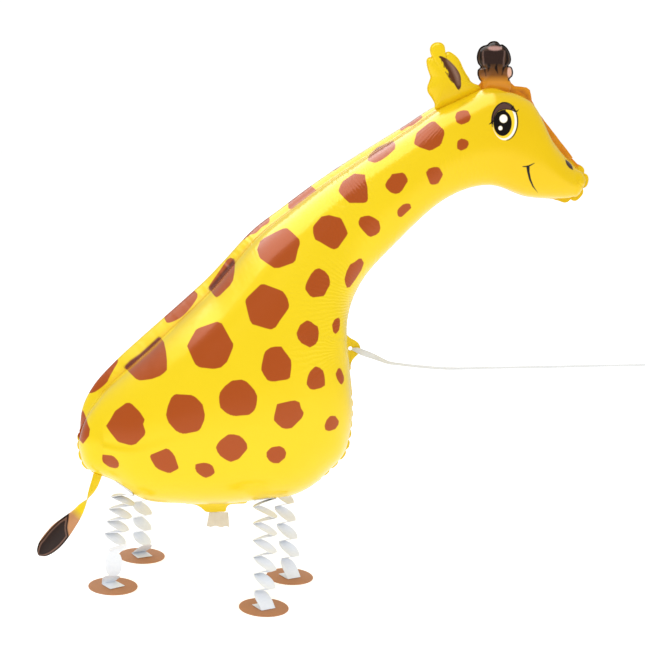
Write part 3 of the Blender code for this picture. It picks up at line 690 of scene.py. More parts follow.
def in_outline(places, corners):
    """How far inside an outline each place is, in pixels; negative outside it."""
    corners = np.array(corners, float)
    nearest = np.full(len(places), 1e6)
    inside = np.zeros(len(places), bool)
    for a, b in zip(corners, np.roll(corners, -1, axis=0)):
        step = b - a
        reach = places - a
        t = np.clip(reach @ step / (step @ step), 0, 1)
        nearest = np.minimum(nearest, np.linalg.norm(reach - t[:, None] * step, axis=1))
        between = (a[1] > places[:, 1]) != (b[1] > places[:, 1])
        rise = step[1] if abs(step[1]) > 1e-9 else 1e-9
        inside ^= between & (places[:, 0] < a[0] + (places[:, 1] - a[1]) * step[0] / rise)
    return np.where(inside, nearest, -nearest)


def in_ellipse(places, centre, semi):
    """About how far inside an ellipse each place is, in pixels."""
    shift = places - np.array(centre)
    near = np.linalg.norm(shift / np.array(semi), axis=1)
    steep = np.linalg.norm(shift / np.array(semi) ** 2, axis=1)
    return near * (1 - near) / np.maximum(steep, 1e-6)


def in_stroke(places, stops):
    """A brush stroke through stops of (x, y, half its width)."""
    out = np.full(len(places), -99.0)
    for a, b in zip(stops[:-1], stops[1:]):
        start, step = np.array(a[:2]), np.array(b[:2]) - np.array(a[:2])
        reach = places - start
        t = np.clip(reach @ step / (step @ step), 0, 1)
        gap = np.linalg.norm(reach - t[:, None] * step, axis=1)
        out = np.maximum(out, a[2] + (b[2] - a[2]) * t - gap)
    return out


def on_seam(pixels):
    """The points of the seam's plane that show at these places of the picture, as (x, z)."""
    out = []
    for x, y in pixels:
        way = view_right * (x - PICTURE_SIDE / 2) - view_up * (y - PICTURE_SIDE / 2)
        way -= view_back * FOCAL_PIXELS
        place = view_place - way * view_place.y / way.y
        out.append((place.x, place.z))
    return np.array(out)


def in_any(places, outlines, steps=3):
    """The most inside of several outlines, their corners rounded."""
    out = np.full(len(places), -PRINT_REACH)
    for corners in outlines:
        rounded = smooth_line(corners, steps, closed=True)
        low, high = rounded.min(axis=0) - PRINT_REACH, rounded.max(axis=0) + PRINT_REACH
        near = np.all((places > low) & (places < high), axis=1)
        out[near] = np.maximum(out[near], in_outline(places[near], rounded))
    return out


def in_strokes(places, strokes):
    return np.maximum.reduce([in_stroke(places, stops) for stops in strokes])


def lay_values(mesh, name, values):
    layer = mesh.attributes.new(name, "FLOAT", "POINT")
    layer.data.foreach_set("value", values.astype(np.float32))


def lay_print(mesh, name, inside):
    lay_values(mesh, name, np.clip(inside, -PRINT_REACH, PRINT_REACH))


foil_points = np.empty(len(envelope_mesh.vertices) * 3)
envelope_mesh.vertices.foreach_get("co", foil_points)
foil_points = foil_points.reshape(-1, 3)
far = foil_points[:, 1] > 0
shown = picture_place(foil_points)
picture = picture_place(mirrored(foil_points))
spots = in_any(picture, SPOTS, steps=1)
seam_spots = in_any(shown, SEAM_SPOTS, steps=1)
spots = np.maximum(spots, seam_spots)
spots[far] = np.maximum(spots[far], in_any(shown[far], FAR_SPOTS))
lay_print(envelope_mesh, "spots", spots)

# The face: an eye with its lid and lashes, a mouth line and a nostril.
LID = (
    (491.2, 123), (491.5, 117), (493, 111.5), (496, 106.5), (499.5, 103.5), (503.5, 102), (507.5, 103.5),
    (511, 105.5), (514, 108.2), (516, 110.8), (515, 112), (513, 111), (509.5, 109.9), (505.5, 109.5),
    (501.5, 110), (497.5, 112.3), (494.8, 116.5), (493.5, 122), (492.5, 124.5),
)
eye = in_ellipse(picture, (504.9, 121.5), (13.4, 19.5))
white = in_ellipse(picture, (504.7, 121.6), (12.3, 18.5))
amber = in_ellipse(picture, (503.5, 121.4), (11.2, 17.0))
pupil = in_ellipse(picture, (502.6, 123.2), (9.2, 12.8))
glints = np.maximum(
    in_ellipse(picture, (503.5, 118.7), (4.0, 4.2)),
    in_ellipse(picture, (500.4, 128.1), (2.1, 2.2)),
)
upper_lid = in_any(picture, (LID,), steps=4)
lid_line = np.minimum(upper_lid, 0.75 - upper_lid)
LID_SHADE = (
    (493.2, 125), (494, 117.5), (497, 112.5), (501.5, 110), (505.8, 109.6), (506, 112.5), (500, 115),
    (495.6, 121),
)
lid_shade = in_any(picture, (LID_SHADE,), steps=1)
# The ring round the eye stops half-way down its rear side.
EYE_MIDDLE, RING_FOOT = 506, 127
ring = np.minimum(eye, -white)
rear = picture[:, 0] < EYE_MIDDLE
ring[rear] = np.minimum(ring[rear], RING_FOOT - picture[rear, 1])
# Strokes of ink, each with its stops and half its width there: three lashes, the mouth and its corner.
INK_STROKES = (
    ((511.7, 108.5, 0.8), (513.5, 106.7, 0.5), (513.2, 105.3, 0.1)),
    ((514.8, 111.2, 0.9), (517.2, 111.2, 0.6), (518.7, 109.3, 0.2)),
    ((492.4, 121.2, 0.9), (490.7, 123.3, 0.6), (489.1, 124.2, 0.3)),
    ((528, 166.9, 1.65), (528.3, 171.6, 1.3), (530, 179.2, 1.0), (533, 186.3, 0.7), (537.7, 192.6, 0.1)),
    ((523, 166.6, 0.5), (528.3, 166.3, 0.8), (534.2, 163.3, 0.4)),
)
NOSTRIL = ((565.3, 159.6, 0.3), (567.9, 163.3, 1.9), (570.6, 166.8, 1.9), (573.0, 169.8, 0.3))
dark_of_eye = np.minimum(np.maximum(pupil, lid_shade), -glints)
ink = np.maximum.reduce([ring, dark_of_eye, in_strokes(picture, INK_STROKES), lid_line])
lay_print(envelope_mesh, "eye_amber", white)
lay_print(envelope_mesh, "eye_white", np.maximum(np.minimum(white, -amber), glints))
lay_print(envelope_mesh, "eye_lid", upper_lid)
lay_print(envelope_mesh, "ink", ink)
lay_print(envelope_mesh, "nostril", in_stroke(picture, NOSTRIL))
# Fine creases fan out from where the outline bends in: each fan has its pivot, its middle, its half
# width and height, the spacing of its creases in degrees, and its strength.
FANS = (
    ((385, 303), (322, 300), (40, 52), 3.9, 1.0),
    ((352, 348), (318, 352), (34, 26), 7.0, 0.8),
    ((322, 130), (353, 190), (21, 20), 2.9, 1.5),
    ((462, 100), (430, 132), (17, 15), 3.6, 0.8),
    ((462, 290), (462, 172), (34, 20), 1.9, 0.7),
    ((250, 110), (350, 220), (36, 26), 2.1, 0.6),
)
pleat_phase = np.zeros(len(picture))
pleat_mask = np.zeros(len(picture))
for pivot, centre, semi, spacing, strength in FANS:
    reach = picture - np.array(pivot)
    angle = np.degrees(np.arctan2(reach[:, 1], reach[:, 0]))
    toward = math.degrees(math.atan2(centre[1] - pivot[1], centre[0] - pivot[0]))
    angle = (angle - toward + 180) % 360 - 180
    inside = np.linalg.norm((picture - np.array(centre)) / np.array(semi), axis=1)
    mask = strength * np.clip(1.25 - inside, 0, 1)
    best = mask > pleat_mask
    pleat_phase[best] = (angle * 2 * math.pi / spacing)[best]
    pleat_mask[best] = mask[best]
lay_values(envelope_mesh, "pleat_phase", pleat_phase)
lay_values(envelope_mesh, "pleat_mask", pleat_mask)

# The back's seal lies in a valley, whose shade is painted on. A pixel is so wide at the giraffe's middle.
PIXEL = 0.00135
CREASE_SHADE_WIDTH = 0.006
NEAR_WALL_SHADE, FAR_WALL_SHADE = 0.001, 0.010
back_seal = seal[seal_at < BACK_WALL_END][::4]
from_seal = np.full(len(foil_points), 1.0)
close = np.nonzero(np.abs(foil_points[:, 1]) < 0.03)[0]
for block in np.array_split(close, 60):
    gaps = np.linalg.norm(foil_points[block][:, None, [0, 2]] - back_seal[None], axis=2)
    from_seal[block] = np.hypot(gaps.min(axis=1), foil_points[block, 1])
wall = np.where(foil_points[:, 1] > 0, FAR_WALL_SHADE, NEAR_WALL_SHADE) - from_seal
# Painted shade: the yellow is darkened along the valley of the back's seal.
lay_print(envelope_mesh, "crease", (CREASE_SHADE_WIDTH - from_seal) / PIXEL)
# Painted shade: the seam spots are darkened on the valley's far wall.
lay_print(envelope_mesh, "spot_valley_shade", np.minimum(seam_spots, wall / PIXEL))
# The orange band of the brow and the muzzle lies along the seal, from the horn to the lips.
BROW_BAND = (
    (470, 82), (480, 78), (509.5, 78), (513.5, 84), (521, 84.5), (527.5, 85), (532.5, 90), (534, 105.5),
    (536, 111.5), (543, 115), (555, 131), (569, 149), (580, 163), (577, 168), (574, 164), (561.6, 150.3),
    (547.9, 133.8), (528, 105), (526, 96.8), (517.8, 92.7), (505, 92.2), (497, 87.5), (481, 89.5),
    (468, 92.5),
)
BROW_RIM_BAND = (
    (474, 84), (480, 76), (512, 76), (530, 80), (540, 100), (560, 125), (585, 160), (575, 163),
    (556, 149), (543, 133), (530, 114), (522, 103), (512, 96), (497, 93), (478, 95),
)
ON_RIM = 0.0035
BROW_HALF_DEPTH = 0.021
brow_print = in_any(picture, (BROW_BAND,))
on_rim = np.abs(foil_points[:, 1]) < ON_RIM
brow_print[on_rim] = np.maximum(brow_print[on_rim], in_any(shown[on_rim], (BROW_RIM_BAND,)))
brow_print = np.minimum(brow_print, (BROW_HALF_DEPTH - np.abs(foil_points[:, 1])) / PIXEL)
lay_print(envelope_mesh, "brow", brow_print)


# Nylon film with a thin metal coat under yellow ink: a satin yellow with soft, wide highlights, painted a
# little more golden toward the head as shade. It is crinkled about every 14 mm, and its creases come and go
# in patches.
CLOUDS_PER_METRE = 9.0
CRINKLES_PER_METRE = 70.0
PATCHES_PER_METRE = 38.0


def foil_material(name, print_and_shade_layers, pleated=False):
    """Printed foil, with each layer of print or of painted shade a (layer, colour, softness in pixels) over
    the last.
    """
    material, shader = new_material(
        name, 0.22, metallic=0.08, Specular_IOR_Level=0.26, Coat_Weight=0.20, Coat_Roughness=0.14,
    )
    place = add_node(material, "ShaderNodeTexCoord").outputs["Object"]
    cloud = add_node(
        material, "ShaderNodeTexNoise", {"Vector": place, "Scale": CLOUDS_PER_METRE, "Detail": 2.0},
    ).outputs["Fac"]
    lemon = blend_colours(material, cloud, colour("EECD16"), colour("F3D51E"))
    # Painted shade: the yellow turns a little more golden toward the head.
    shaded_golden = blend_colours(material, cloud, colour("E8C00A"), colour("EDC60E"))
    reach = add_node(material, "ShaderNodeSeparateXYZ", {0: place}).outputs["X"]
    neck = {"Value": reach, "From Min": 0.05, "From Max": 0.24}
    head_shade_share = add_node(material, "ShaderNodeMapRange", neck)
    paint = blend_colours(material, head_shade_share.outputs[0], lemon, shaded_golden)
    for layer, shade, softness in print_and_shade_layers:
        inside = add_node(material, "ShaderNodeAttribute", attribute_name=layer).outputs["Fac"]
        edge = {"Value": inside, "From Min": -softness, "From Max": softness}
        cover = add_node(material, "ShaderNodeMapRange", edge).outputs[0]
        paint = blend_colours(material, cover, paint, shade)
    crinkles = {"Vector": place, "Scale": CRINKLES_PER_METRE, "Detail": 3.0, "Roughness": 0.55}
    crinkle = add_node(material, "ShaderNodeTexNoise", crinkles).outputs["Fac"]
    if pleated:
        phase = add_node(material, "ShaderNodeAttribute", attribute_name="pleat_phase").outputs["Fac"]
        wobble = {0: crinkle, 1: 9.0, 2: phase}
        wobble = add_node(material, "ShaderNodeMath", wobble, operation="MULTIPLY_ADD").outputs[0]
        wave = add_node(material, "ShaderNodeMath", {0: wobble}, operation="SINE").outputs[0]
        mask = add_node(material, "ShaderNodeAttribute", attribute_name="pleat_mask").outputs["Fac"]
        patches = {"Vector": place, "Scale": PATCHES_PER_METRE, "Detail": 1.0}
        patch = add_node(material, "ShaderNodeTexNoise", patches).outputs["Fac"]
        mask = add_node(material, "ShaderNodeMath", {0: mask, 1: patch}, operation="MULTIPLY").outputs[0]
        pleat = add_node(material, "ShaderNodeMath", {0: wave, 1: mask}, operation="MULTIPLY").outputs[0]
        relief = {0: pleat, 1: 1.3, 2: crinkle}
        crinkle = add_node(material, "ShaderNodeMath", relief, operation="MULTIPLY_ADD").outputs[0]
    material.node_tree.links.new(paint, shader.inputs["Base Color"])
    lay_bump(material, shader, crinkle, 0.22, 0.0012)
    return material


printed_foil = foil_material("printed_foil", (
    # Painted shade along the valley of the back's seal: a darker yellow.
    ("crease", colour("EDBE0C"), 4.0),
    ("brow", colour("DE8A12"), 1.2),
    ("spots", colour("AC4E18"), 0.4),
    # Painted shade on the seam spots in the back's valley: a darker brown.
    ("spot_valley_shade", colour("6A2A14"), 1.5),
    ("eye_amber", colour("FFD83A"), 0.35),
    ("eye_white", colour("FFFCF2"), 0.35),
    ("eye_lid", colour("5A4038"), 0.35),
    ("ink", colour("171210"), 0.35),
    ("nostril", colour("3A1C0C"), 0.5),
), pleated=True)
envelope_mesh.materials.append(printed_foil)
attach(envelope, "root")
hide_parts("balloon")


# Ear
# A small lobe of the same two panels, standing up behind the brow, with a brown crescent printed on it.
EAR_EDGE = (
    (436, 110), (434.5, 103.5), (432, 98.5), (428, 92.5), (427.3, 87), (429.3, 81), (430.3, 77),
    (428.5, 71.5), (427, 66), (426.5, 60.5), (428.3, 57.6), (431.3, 56.6), (430.3, 52.5), (430, 48.5),
    (431.5, 45), (434.5, 42.8), (438, 42.2), (441.5, 43), (444, 45.3), (445, 48.8), (444.6, 52),
    (444.5, 54.8), (446, 52.3), (449, 51.6), (452.5, 53.3), (457, 57), (460.2, 61.5), (463, 68),
    (466, 73.5), (469, 78), (470.5, 81), (474, 83.5), (480, 86), (481, 92), (462, 101), (446, 108),
)
EAR_CENTRE = (153, 706)
EAR_HALF_THICKNESS = 0.0075
EAR_RIM = 0.0016
LOBE_RIM_THICKNESS = 0.0015
LOBE_ANGLES = (1.5, 4, 7, 11, 15, 19, 23, 27, 31, 35, 39, 43, 47, 51, 55, 59, 63, 67, 71, 75, 79, 83, 87)


def foil_lobe(name, corners, centre, half_thickness, rim_width, material):
    """A small blown-up lobe of foil; its corners are picture pixels, seen in the seam's plane."""
    edge = smooth_line(on_seam(corners), 8, closed=True)
    middle = np.array(centre, float) * MM
    out = edge - middle
    sealed = edge - out * rim_width / np.linalg.norm(out, axis=1)[:, None]
    count = len(edge)
    points, faces, rims = [], [], []
    for side in (-1, 1):
        rings = []
        for line in (edge, sealed):
            rings.append(range(len(points), len(points) + count))
            points += [(x, side * LOBE_RIM_THICKNESS / 2, z) for x, z in line]
        for degrees in LOBE_ANGLES:
            across = math.cos(math.radians(degrees)) ** (2 / SECTION_POWER)
            deep = math.sin(math.radians(degrees)) ** (2 / SECTION_POWER)
            depth = max(deep * half_thickness, LOBE_RIM_THICKNESS / 2)
            rings.append(range(len(points), len(points) + count))
            points += [(x, side * depth, z) for x, z in middle + (sealed - middle) * across]
        tip = len(points)
        points.append((middle[0], side * half_thickness, middle[1]))
        for i in range(count):
            j = (i + 1) % count
            faces += [(a[i], a[j], b[j], b[i]) for a, b in zip(rings[:-1], rings[1:])]
            faces.append((rings[-1][i], rings[-1][j], tip))
        rims.append(rings[0])
    for i in range(count):
        j = (i + 1) % count
        faces.append((rims[0][i], rims[0][j], rims[1][j], rims[1][i]))
    piece = new_piece(name, points, faces, material, sharp=50)
    return piece, picture_place(mirrored(np.array(points)))


ear_foil = foil_material("ear_foil", (
    ("crescent", colour("5A3420"), 0.4),
    ("crescent_shine", colour("92705F"), 1.8),
))
ear, picture = foil_lobe("foil_ear", EAR_EDGE, EAR_CENTRE, EAR_HALF_THICKNESS, EAR_RIM, ear_foil)
CRESCENT = (
    (438, 56.5), (440.5, 56), (444.5, 57.5), (449, 60.5), (454, 65.5), (458, 70.5), (460.5, 76),
    (461, 82), (461, 86.5), (459, 90.5), (457, 88.5), (454, 83.5), (451, 78.5), (449, 73.5), (447, 69),
    (444.5, 65), (442.5, 61.5), (440.5, 58.5),
)
HAIRS = (
    ((446, 62), (441.2, 60.4)), ((446.9, 66), (441.9, 63.3)), ((448.5, 69.5), (443.9, 67.2)),
    ((450, 77.5), (445.4, 71.9)), ((452, 81), (447.4, 75.4)),
)
CRESCENT_SHINE = ((447, 60.5, 0.6), (453, 67.5, 1.8), (457, 76, 2.0), (458.8, 84, 1.2))
crescent = in_any(picture, (CRESCENT,))
for thick, thin in HAIRS:
    crescent = np.maximum(crescent, in_stroke(picture, ((*thick, 1.1), (*thin, 0.3))))
lay_print(ear.data, "crescent", crescent)
shine = in_stroke(picture, CRESCENT_SHINE)
lay_print(ear.data, "crescent_shine", np.minimum(shine, crescent))
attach(ear, "root")
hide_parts("balloon")


# Horn
# The horn's lobe is printed in dark brown with a bright panel down its middle, and fades into the
# orange of the brow at its root.
HORN_EDGE = (
    (481.5, 92), (481.3, 83), (479, 79), (477.5, 74.5), (477.8, 70), (480.3, 67), (478, 63.5),
    (476.8, 58.5), (477.3, 53.5), (479.5, 48.5), (483, 45.8), (487, 44.6), (490, 42), (494, 41),
    (497.5, 41.8), (500, 44.4), (502.5, 44.5), (506.5, 47.5), (509.5, 52.5), (511, 58.5), (510.3, 63),
    (508.4, 65.8), (511.3, 67), (513, 71.5), (512.3, 76), (509.3, 79.5), (511, 83), (512, 90), (505, 96),
    (488, 96),
)
HORN_CENTRE = (219, 722)
HORN_HALF_THICKNESS = 0.0110
HORN_RIM = 0.0016
horn_foil = foil_material("horn_foil", (
    ("root", colour("D88F22"), 0.6),
    ("brown", colour("8A5420"), 3.5),
    ("hair", colour("46301F"), 7.0),
    ("dark", colour("1E1410"), 0.6),
    ("panel", colour("34241F"), 0.6),
    ("panel_line", colour("6E564E"), 0.6),
    ("shine", colour("B98F86"), 0.9),
    ("pink", colour("E8B8A0"), 0.6),
    ("outline", colour("1E1410"), 0.6),
))
horn, picture = foil_lobe("foil_horn", HORN_EDGE, HORN_CENTRE, HORN_HALF_THICKNESS, HORN_RIM, horn_foil)
HORN_PANEL = (
    (482.8, 51), (486, 49.5), (503, 49.5), (505, 52), (504, 60), (502.3, 70.7), (485.8, 70.7), (483, 60),
)
STRANDS = (
    ((483, 47, 1.0), (480.5, 54, 1.0), (480.8, 62, 1.0), (484.5, 69, 0.8), (486, 76, 0.3)),
    ((487, 45.5, 0.9), (484, 49, 0.6), (481.8, 56, 0.5)),
    ((503, 46, 1.1), (507, 53, 1.1), (507.3, 61, 1.1), (503.2, 69, 1.0), (502, 75, 0.3)),
    ((488, 46, 0.9), (494, 43.5, 1.2), (500, 46, 0.9)),
    ((487.5, 60, 0.2), (489, 66, 1.6), (488, 72, 0.2)),
    ((497, 62, 0.2), (496, 68, 1.4), (498, 74, 0.2)),
)
# The heights in the picture where the root's orange, the brown, the hair and the panel end, and between
# which the panel's line shows.
ROOT_TOP, BROWN_FOOT, HAIR_FOOT = 81, 78.5, 71
PANEL_FOOT, LINE_TOP, LINE_FOOT = 64, 50.5, 66
low = picture[:, 1]
panel = in_any(picture, (HORN_PANEL,))
lay_print(horn.data, "root", np.full(len(picture), PRINT_REACH))
lay_print(horn.data, "brown", BROWN_FOOT - low)
lay_print(horn.data, "hair", HAIR_FOOT - low)
edge_gap = in_any(picture, (HORN_EDGE,), steps=8)
above_root = ROOT_TOP - low
panel_line = np.minimum.reduce([panel + 0.3, 1.0 - panel, low - LINE_TOP, LINE_FOOT - low])
lay_print(horn.data, "dark", np.minimum(in_strokes(picture, STRANDS), above_root))
lay_print(horn.data, "panel", np.minimum(panel - 0.8, PANEL_FOOT - low))
lay_print(horn.data, "panel_line", panel_line)
lay_print(horn.data, "shine", in_ellipse(picture, (495, 48.3), (6.8, 2.2)))
lay_print(horn.data, "pink", in_ellipse(picture, (509.9, 72.2), (2.5, 6.0)))
lay_print(horn.data, "outline", np.minimum(1.3 - edge_gap, above_root))
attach(horn, "root")
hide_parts("balloon")


# Brow
# Outside the seal the two foils are printed orange, and make a flat, creased flange from the horn's
# root to the muzzle.
BROW_EDGE = (
    (476, 88), (480.5, 82.5), (484, 80.5), (496, 79.6), (509.5, 80), (511, 83), (514.5, 86), (521, 86.6),
    (526.5, 87.4), (529.8, 90), (531, 94.5), (531.6, 100), (532, 106), (534.5, 111), (540, 115),
    (546.5, 123.5), (553, 132), (560, 141), (567, 150), (572.5, 157.5), (570, 160), (560, 152),
    (548, 138), (536, 122), (525, 108), (514, 100), (497, 99), (482, 97),
)
# A stroke of painted shade, a darker orange, along the flange's main fold.
BROW_FOLD_SHADE = (
    (486, 84, 0.6), (495, 86, 1.0), (503, 91, 1.2), (515, 91.5, 1.4), (524, 91.5, 1.6), (528.5, 97, 1.6),
    (529, 104, 1.4), (534, 114, 1.2),
)
BROW_THICKNESS = 0.0016
BROW_GRID = 0.003
# The orange is print; the darker orange along the fold is painted shade.
brow_foil = foil_material("brow_foil", (("orange", colour("DE9016"), 1.0), ("fold_shade", colour("B4681A"), 1.4)))
brow_points = on_seam(BROW_EDGE)
count = len(brow_points)
points = [(x, side * BROW_THICKNESS / 2, z) for side in (-1, 1) for x, z in brow_points]
faces = [tuple(range(count)), tuple(range(2 * count - 1, count - 1, -1))]
faces += [(i, (i + 1) % count, count + (i + 1) % count, count + i) for i in range(count)]
brow_flange = new_piece("brow_flange", points, faces, brow_foil)
work = bmesh.new()
work.from_mesh(brow_flange.data)
bmesh.ops.triangulate(work, faces=[face for face in work.faces if len(face.verts) > 4])
long_edges = [edge for edge in work.edges if edge.calc_length() > BROW_GRID]
bmesh.ops.subdivide_edges(work, edges=long_edges, cuts=3, use_grid_fill=True)
bmesh.ops.triangulate(work, faces=work.faces)
# Shallow creases, up to a millimetre high and 12 to 15 mm apart.
for vert in work.verts:
    x, _, z = vert.co
    vert.co.y += 0.0006 * math.sin(x * 420 + z * 130) + 0.0004 * math.sin(z * 520)
work.to_mesh(brow_flange.data)
work.free()
shown = picture_place(np.array([vertex.co for vertex in brow_flange.data.vertices]))
# Painted shade along the fold.
lay_print(brow_flange.data, "fold_shade", in_stroke(shown, BROW_FOLD_SHADE))
lay_print(brow_flange.data, "orange", np.full(len(shown), PRINT_REACH))
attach(brow_flange, "root")
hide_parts("balloon")


# Chest tab and filling neck
# Flat ears of the foil itself: the rounded tab on the chest has a punched hole for the ribbon, and the
# neck under the belly is what the balloon is filled through.
TAB_EDGE = (
    (336, 330), (343, 332.5), (347.3, 335.3), (350.5, 338), (355, 340.4), (358.4, 343.2), (360.2, 347),
    (360, 350.5), (358, 354), (354.5, 357.5), (351.8, 361.2), (350.6, 365.5), (350, 370), (342, 373),
    (336, 368),
)
TAB_HOLE = (350.2, 348.3)
NECK_EDGE = (
    (180, 494), (185.5, 502.3), (191, 503), (196, 504.2), (200.5, 507), (203.5, 509.6), (206.3, 511.6),
    (212, 511.9), (219, 511.6), (225.2, 511.2), (226.2, 507.8), (227.8, 504.8), (230.5, 503),
    (236, 502.2), (246, 500.5), (244, 490), (213, 486),
)
NECK_MIDDLE = (213, 496)
NECK_X = -0.119
NECK_FOOT = 0.100
TAB_HOLE_RADIUS = 0.00275
TAB_FILM, TAB_SWELL, TAB_ROOT_X, TAB_ROOT_REACH = 0.0007, 0.0075, 0.0505, 0.014
NECK_FILM, NECK_SWELL, NECK_ROOT_Z, NECK_ROOT_REACH = 0.0011, 0.016, 0.1035, 0.020
WEB_RINGS = 13
plain_foil = foil_material("plain_foil", ())


def foil_web(name, corners, middle, hole, half_at):
    """A flat ear of foil that grows out of the body; half_at gives half its thickness from X and Z."""
    edge = smooth_line(on_seam(corners), 6, closed=True)
    centre = on_seam([middle])[0]
    count = len(edge)
    ways = edge - centre
    lengths = np.linalg.norm(ways, axis=1)[:, None]
    start = centre + ways / lengths * hole
    points, faces, inner, outer = [], [], [], []
    for side in (-1, 1):
        rings = []
        for share in np.linspace(0, 1, WEB_RINGS):
            rings.append(range(len(points), len(points) + count))
            points += [(x, side * half_at(x, z), z) for x, z in start + (edge - start) * share]
        for i in range(count):
            j = (i + 1) % count
            faces += [(a[i], a[j], b[j], b[i]) for a, b in zip(rings[:-1], rings[1:])]
        inner.append(rings[0])
        outer.append(rings[-1])
    for i in range(count):
        j = (i + 1) % count
        for near_ring, far_ring in (inner, outer):
            faces.append((near_ring[i], near_ring[j], far_ring[j], far_ring[i]))
    return new_piece(name, points, faces, plain_foil, sharp=50)


def tab_half(x, z):
    """Half the tab's thickness: flat film that swells toward the chest."""
    return TAB_FILM + TAB_SWELL * max(0.0, (TAB_ROOT_X - x) / TAB_ROOT_REACH) ** 1.6


def neck_half(x, z):
    """Half the neck's thickness: flat film that swells toward the belly."""
    return NECK_FILM + NECK_SWELL * max(0.0, (z - NECK_ROOT_Z) / NECK_ROOT_REACH) ** 1.5


tab = foil_web("chest_tab", TAB_EDGE, TAB_HOLE, TAB_HOLE_RADIUS, tab_half)
neck = foil_web("filling_neck", NECK_EDGE, NECK_MIDDLE, 0.0001, neck_half)
for piece in (tab, neck):
    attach(piece, "root")
    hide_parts("balloon")


# Filling valve
# A flat tongue of thin, milky film, open at its foot, that comes out of the filling neck.
VALVE_WIDTH = 0.031
VALVE_LENGTH = 0.0207
VALVE_GAP = 0.0004
VALVE_SHIFT = 0.004
FILM_THICKNESS = 0.0003
HAZE_PER_METRE = 120.0
# Polyethylene film: milky and only a little clear, with a soft shine and ripples about 8 mm apart.
film, shader = new_material("valve_film", 0.28, Coat_Weight=0.3, Coat_Roughness=0.2)
place = add_node(film, "ShaderNodeTexCoord").outputs["Object"]
haze = add_node(film, "ShaderNodeTexNoise", {"Vector": place, "Scale": HAZE_PER_METRE, "Detail": 3.0})
shade = blend_colours(film, haze.outputs["Fac"], colour("D8CCB4"), colour("EDE4D2"))
film.node_tree.links.new(shade, shader.inputs["Base Color"])
shader.inputs["Alpha"].default_value = 0.8
lay_bump(film, shader, haze.outputs["Fac"], 0.3, 0.0006)
bpy.ops.mesh.primitive_grid_add(x_subdivisions=36, y_subdivisions=20, size=1, location=(0, 0, 0))
valve = bpy.context.object
valve.name = "valve_film_tongue"
for vertex in valve.data.vertices:
    u, v = 2 * vertex.co.x, 0.5 - vertex.co.y
    half = VALVE_WIDTH / 2 * (0.84 + 0.16 * v)
    foot = VALVE_LENGTH + 0.0008 * math.sin(u * 7.0)
    ripple = 0.0004 * math.sin(u * 8 + 1) * v
    vertex.co = (NECK_X + VALVE_SHIFT + half * u, ripple, NECK_FOOT - VALVE_GAP - foot * v)
thick = valve.modifiers.new("thick", "SOLIDIFY")
thick.thickness = FILM_THICKNESS
thick.offset = 0
bpy.ops.object.modifier_apply(modifier="thick")
valve.data.materials.clear()
valve.data.materials.append(film)
valve.data.shade_smooth()
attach(valve, "root")
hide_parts("inflation_valve")


# Tail
# One strip of printed foil, glued to the rump's seal. It twists once and widens into a tuft that is
# printed dark brown with a thin lighter line inside its edge.

# The stations down the tail: the middle and the width in millimetres, and the turn in degrees.
TAIL_STATIONS = (
    ((-281, -2, 149), 12, 0),
    ((-285, -3, 135), 11, 15),
    ((-290, -4, 122), 10, 50),
    ((-294, -4, 113), 10, 90),
    ((-300, -4, 104), 12, 130),
    ((-307, -4, 93), 15, 160),
    ((-316, -4, 82), 21, 180),
    ((-327, -4, 69), 27, 180),
    ((-337, -4, 56), 28, 180),
    ((-345, -4, 46.5), 25, 180),
    ((-350, -4, 40.5), 20, 180),
    ((-353.7, -4, 36.4), 13, 180),
    ((-355.8, -4, 34), 4, 180),
)
TAIL_SHIFT = -0.0015
TUFT_START = 5
TAIL_EDGE = 0.0003
TAIL_SWELL = 0.0006
TUFT_SWELL = 0.0016
TAIL_ACROSS = 16
rows = [(*place, width, turn, i >= TUFT_START) for i, (place, width, turn) in enumerate(TAIL_STATIONS)]
tail_line = smooth_line(rows, 12)
tail_middle = tail_line[:, :3] * MM
tail_middle[:, 1] += TAIL_SHIFT
points, tail_edge = [], []
for i, row in enumerate(tail_line):
    along = tail_middle[min(i + 1, len(tail_line) - 1)] - tail_middle[max(i - 1, 0)]
    along = Vector((along[0], 0, along[2])).normalized()
    sideways = Vector((0, -1, 0)).cross(along)
    angle = math.radians(row[4])
    wide = sideways * math.cos(angle) + Vector((0, 1, 0)) * math.sin(angle)
    face = along.cross(wide)
    half = row[3] * MM / 2
    swell = TAIL_SWELL + TUFT_SWELL * np.clip(row[5], 0, 1)
    for side in (-1, 1):
        ways = np.linspace(-1, 1, TAIL_ACROSS + 1)[::-side]
        for way in ways:
            rise = TAIL_EDGE + (swell - TAIL_EDGE) * (1 - way * way) ** 0.7
            points.append(Vector(tail_middle[i]) + wide * half * way + face * side * rise)
            tail_edge.append(half * (1 - abs(way)))
faces = ring_faces(2 * (TAIL_ACROSS + 1), len(tail_line))
tail_foil = foil_material("tail_foil_print", (
    ("tan", colour("C48C60"), 3.0),
    ("tuft", colour("2C1D18"), 0.6),
    ("tuft_line", colour("7A5A4C"), 0.4),
))
tail = new_piece("foil_tail", points, faces, tail_foil, sharp=60)
shown = picture_place(np.array(points))
TUFT = (
    (68.5, 512.5), (60, 519.5), (50, 529), (41, 540), (34, 548), (34, 556), (48, 558), (60, 551),
    (68, 541), (69, 537), (67.5, 528), (68.5, 520),
)
tuft = in_any(shown, (TUFT,))
lay_print(tail.data, "tan", (shown[:, 1] - 511) * 0.5 + (74.5 - shown[:, 0]) * 0.5)
lay_print(tail.data, "tuft", tuft)
# The line runs 2.4 pixels inside the tuft's edge and is 1.4 pixels wide.
from_line = np.abs(np.minimum(np.array(tail_edge) / PIXEL, tuft) - 2.4)
lay_print(tail.data, "tuft_line", np.minimum(0.7 - from_line, tuft))
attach(tail, "root")
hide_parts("tail")


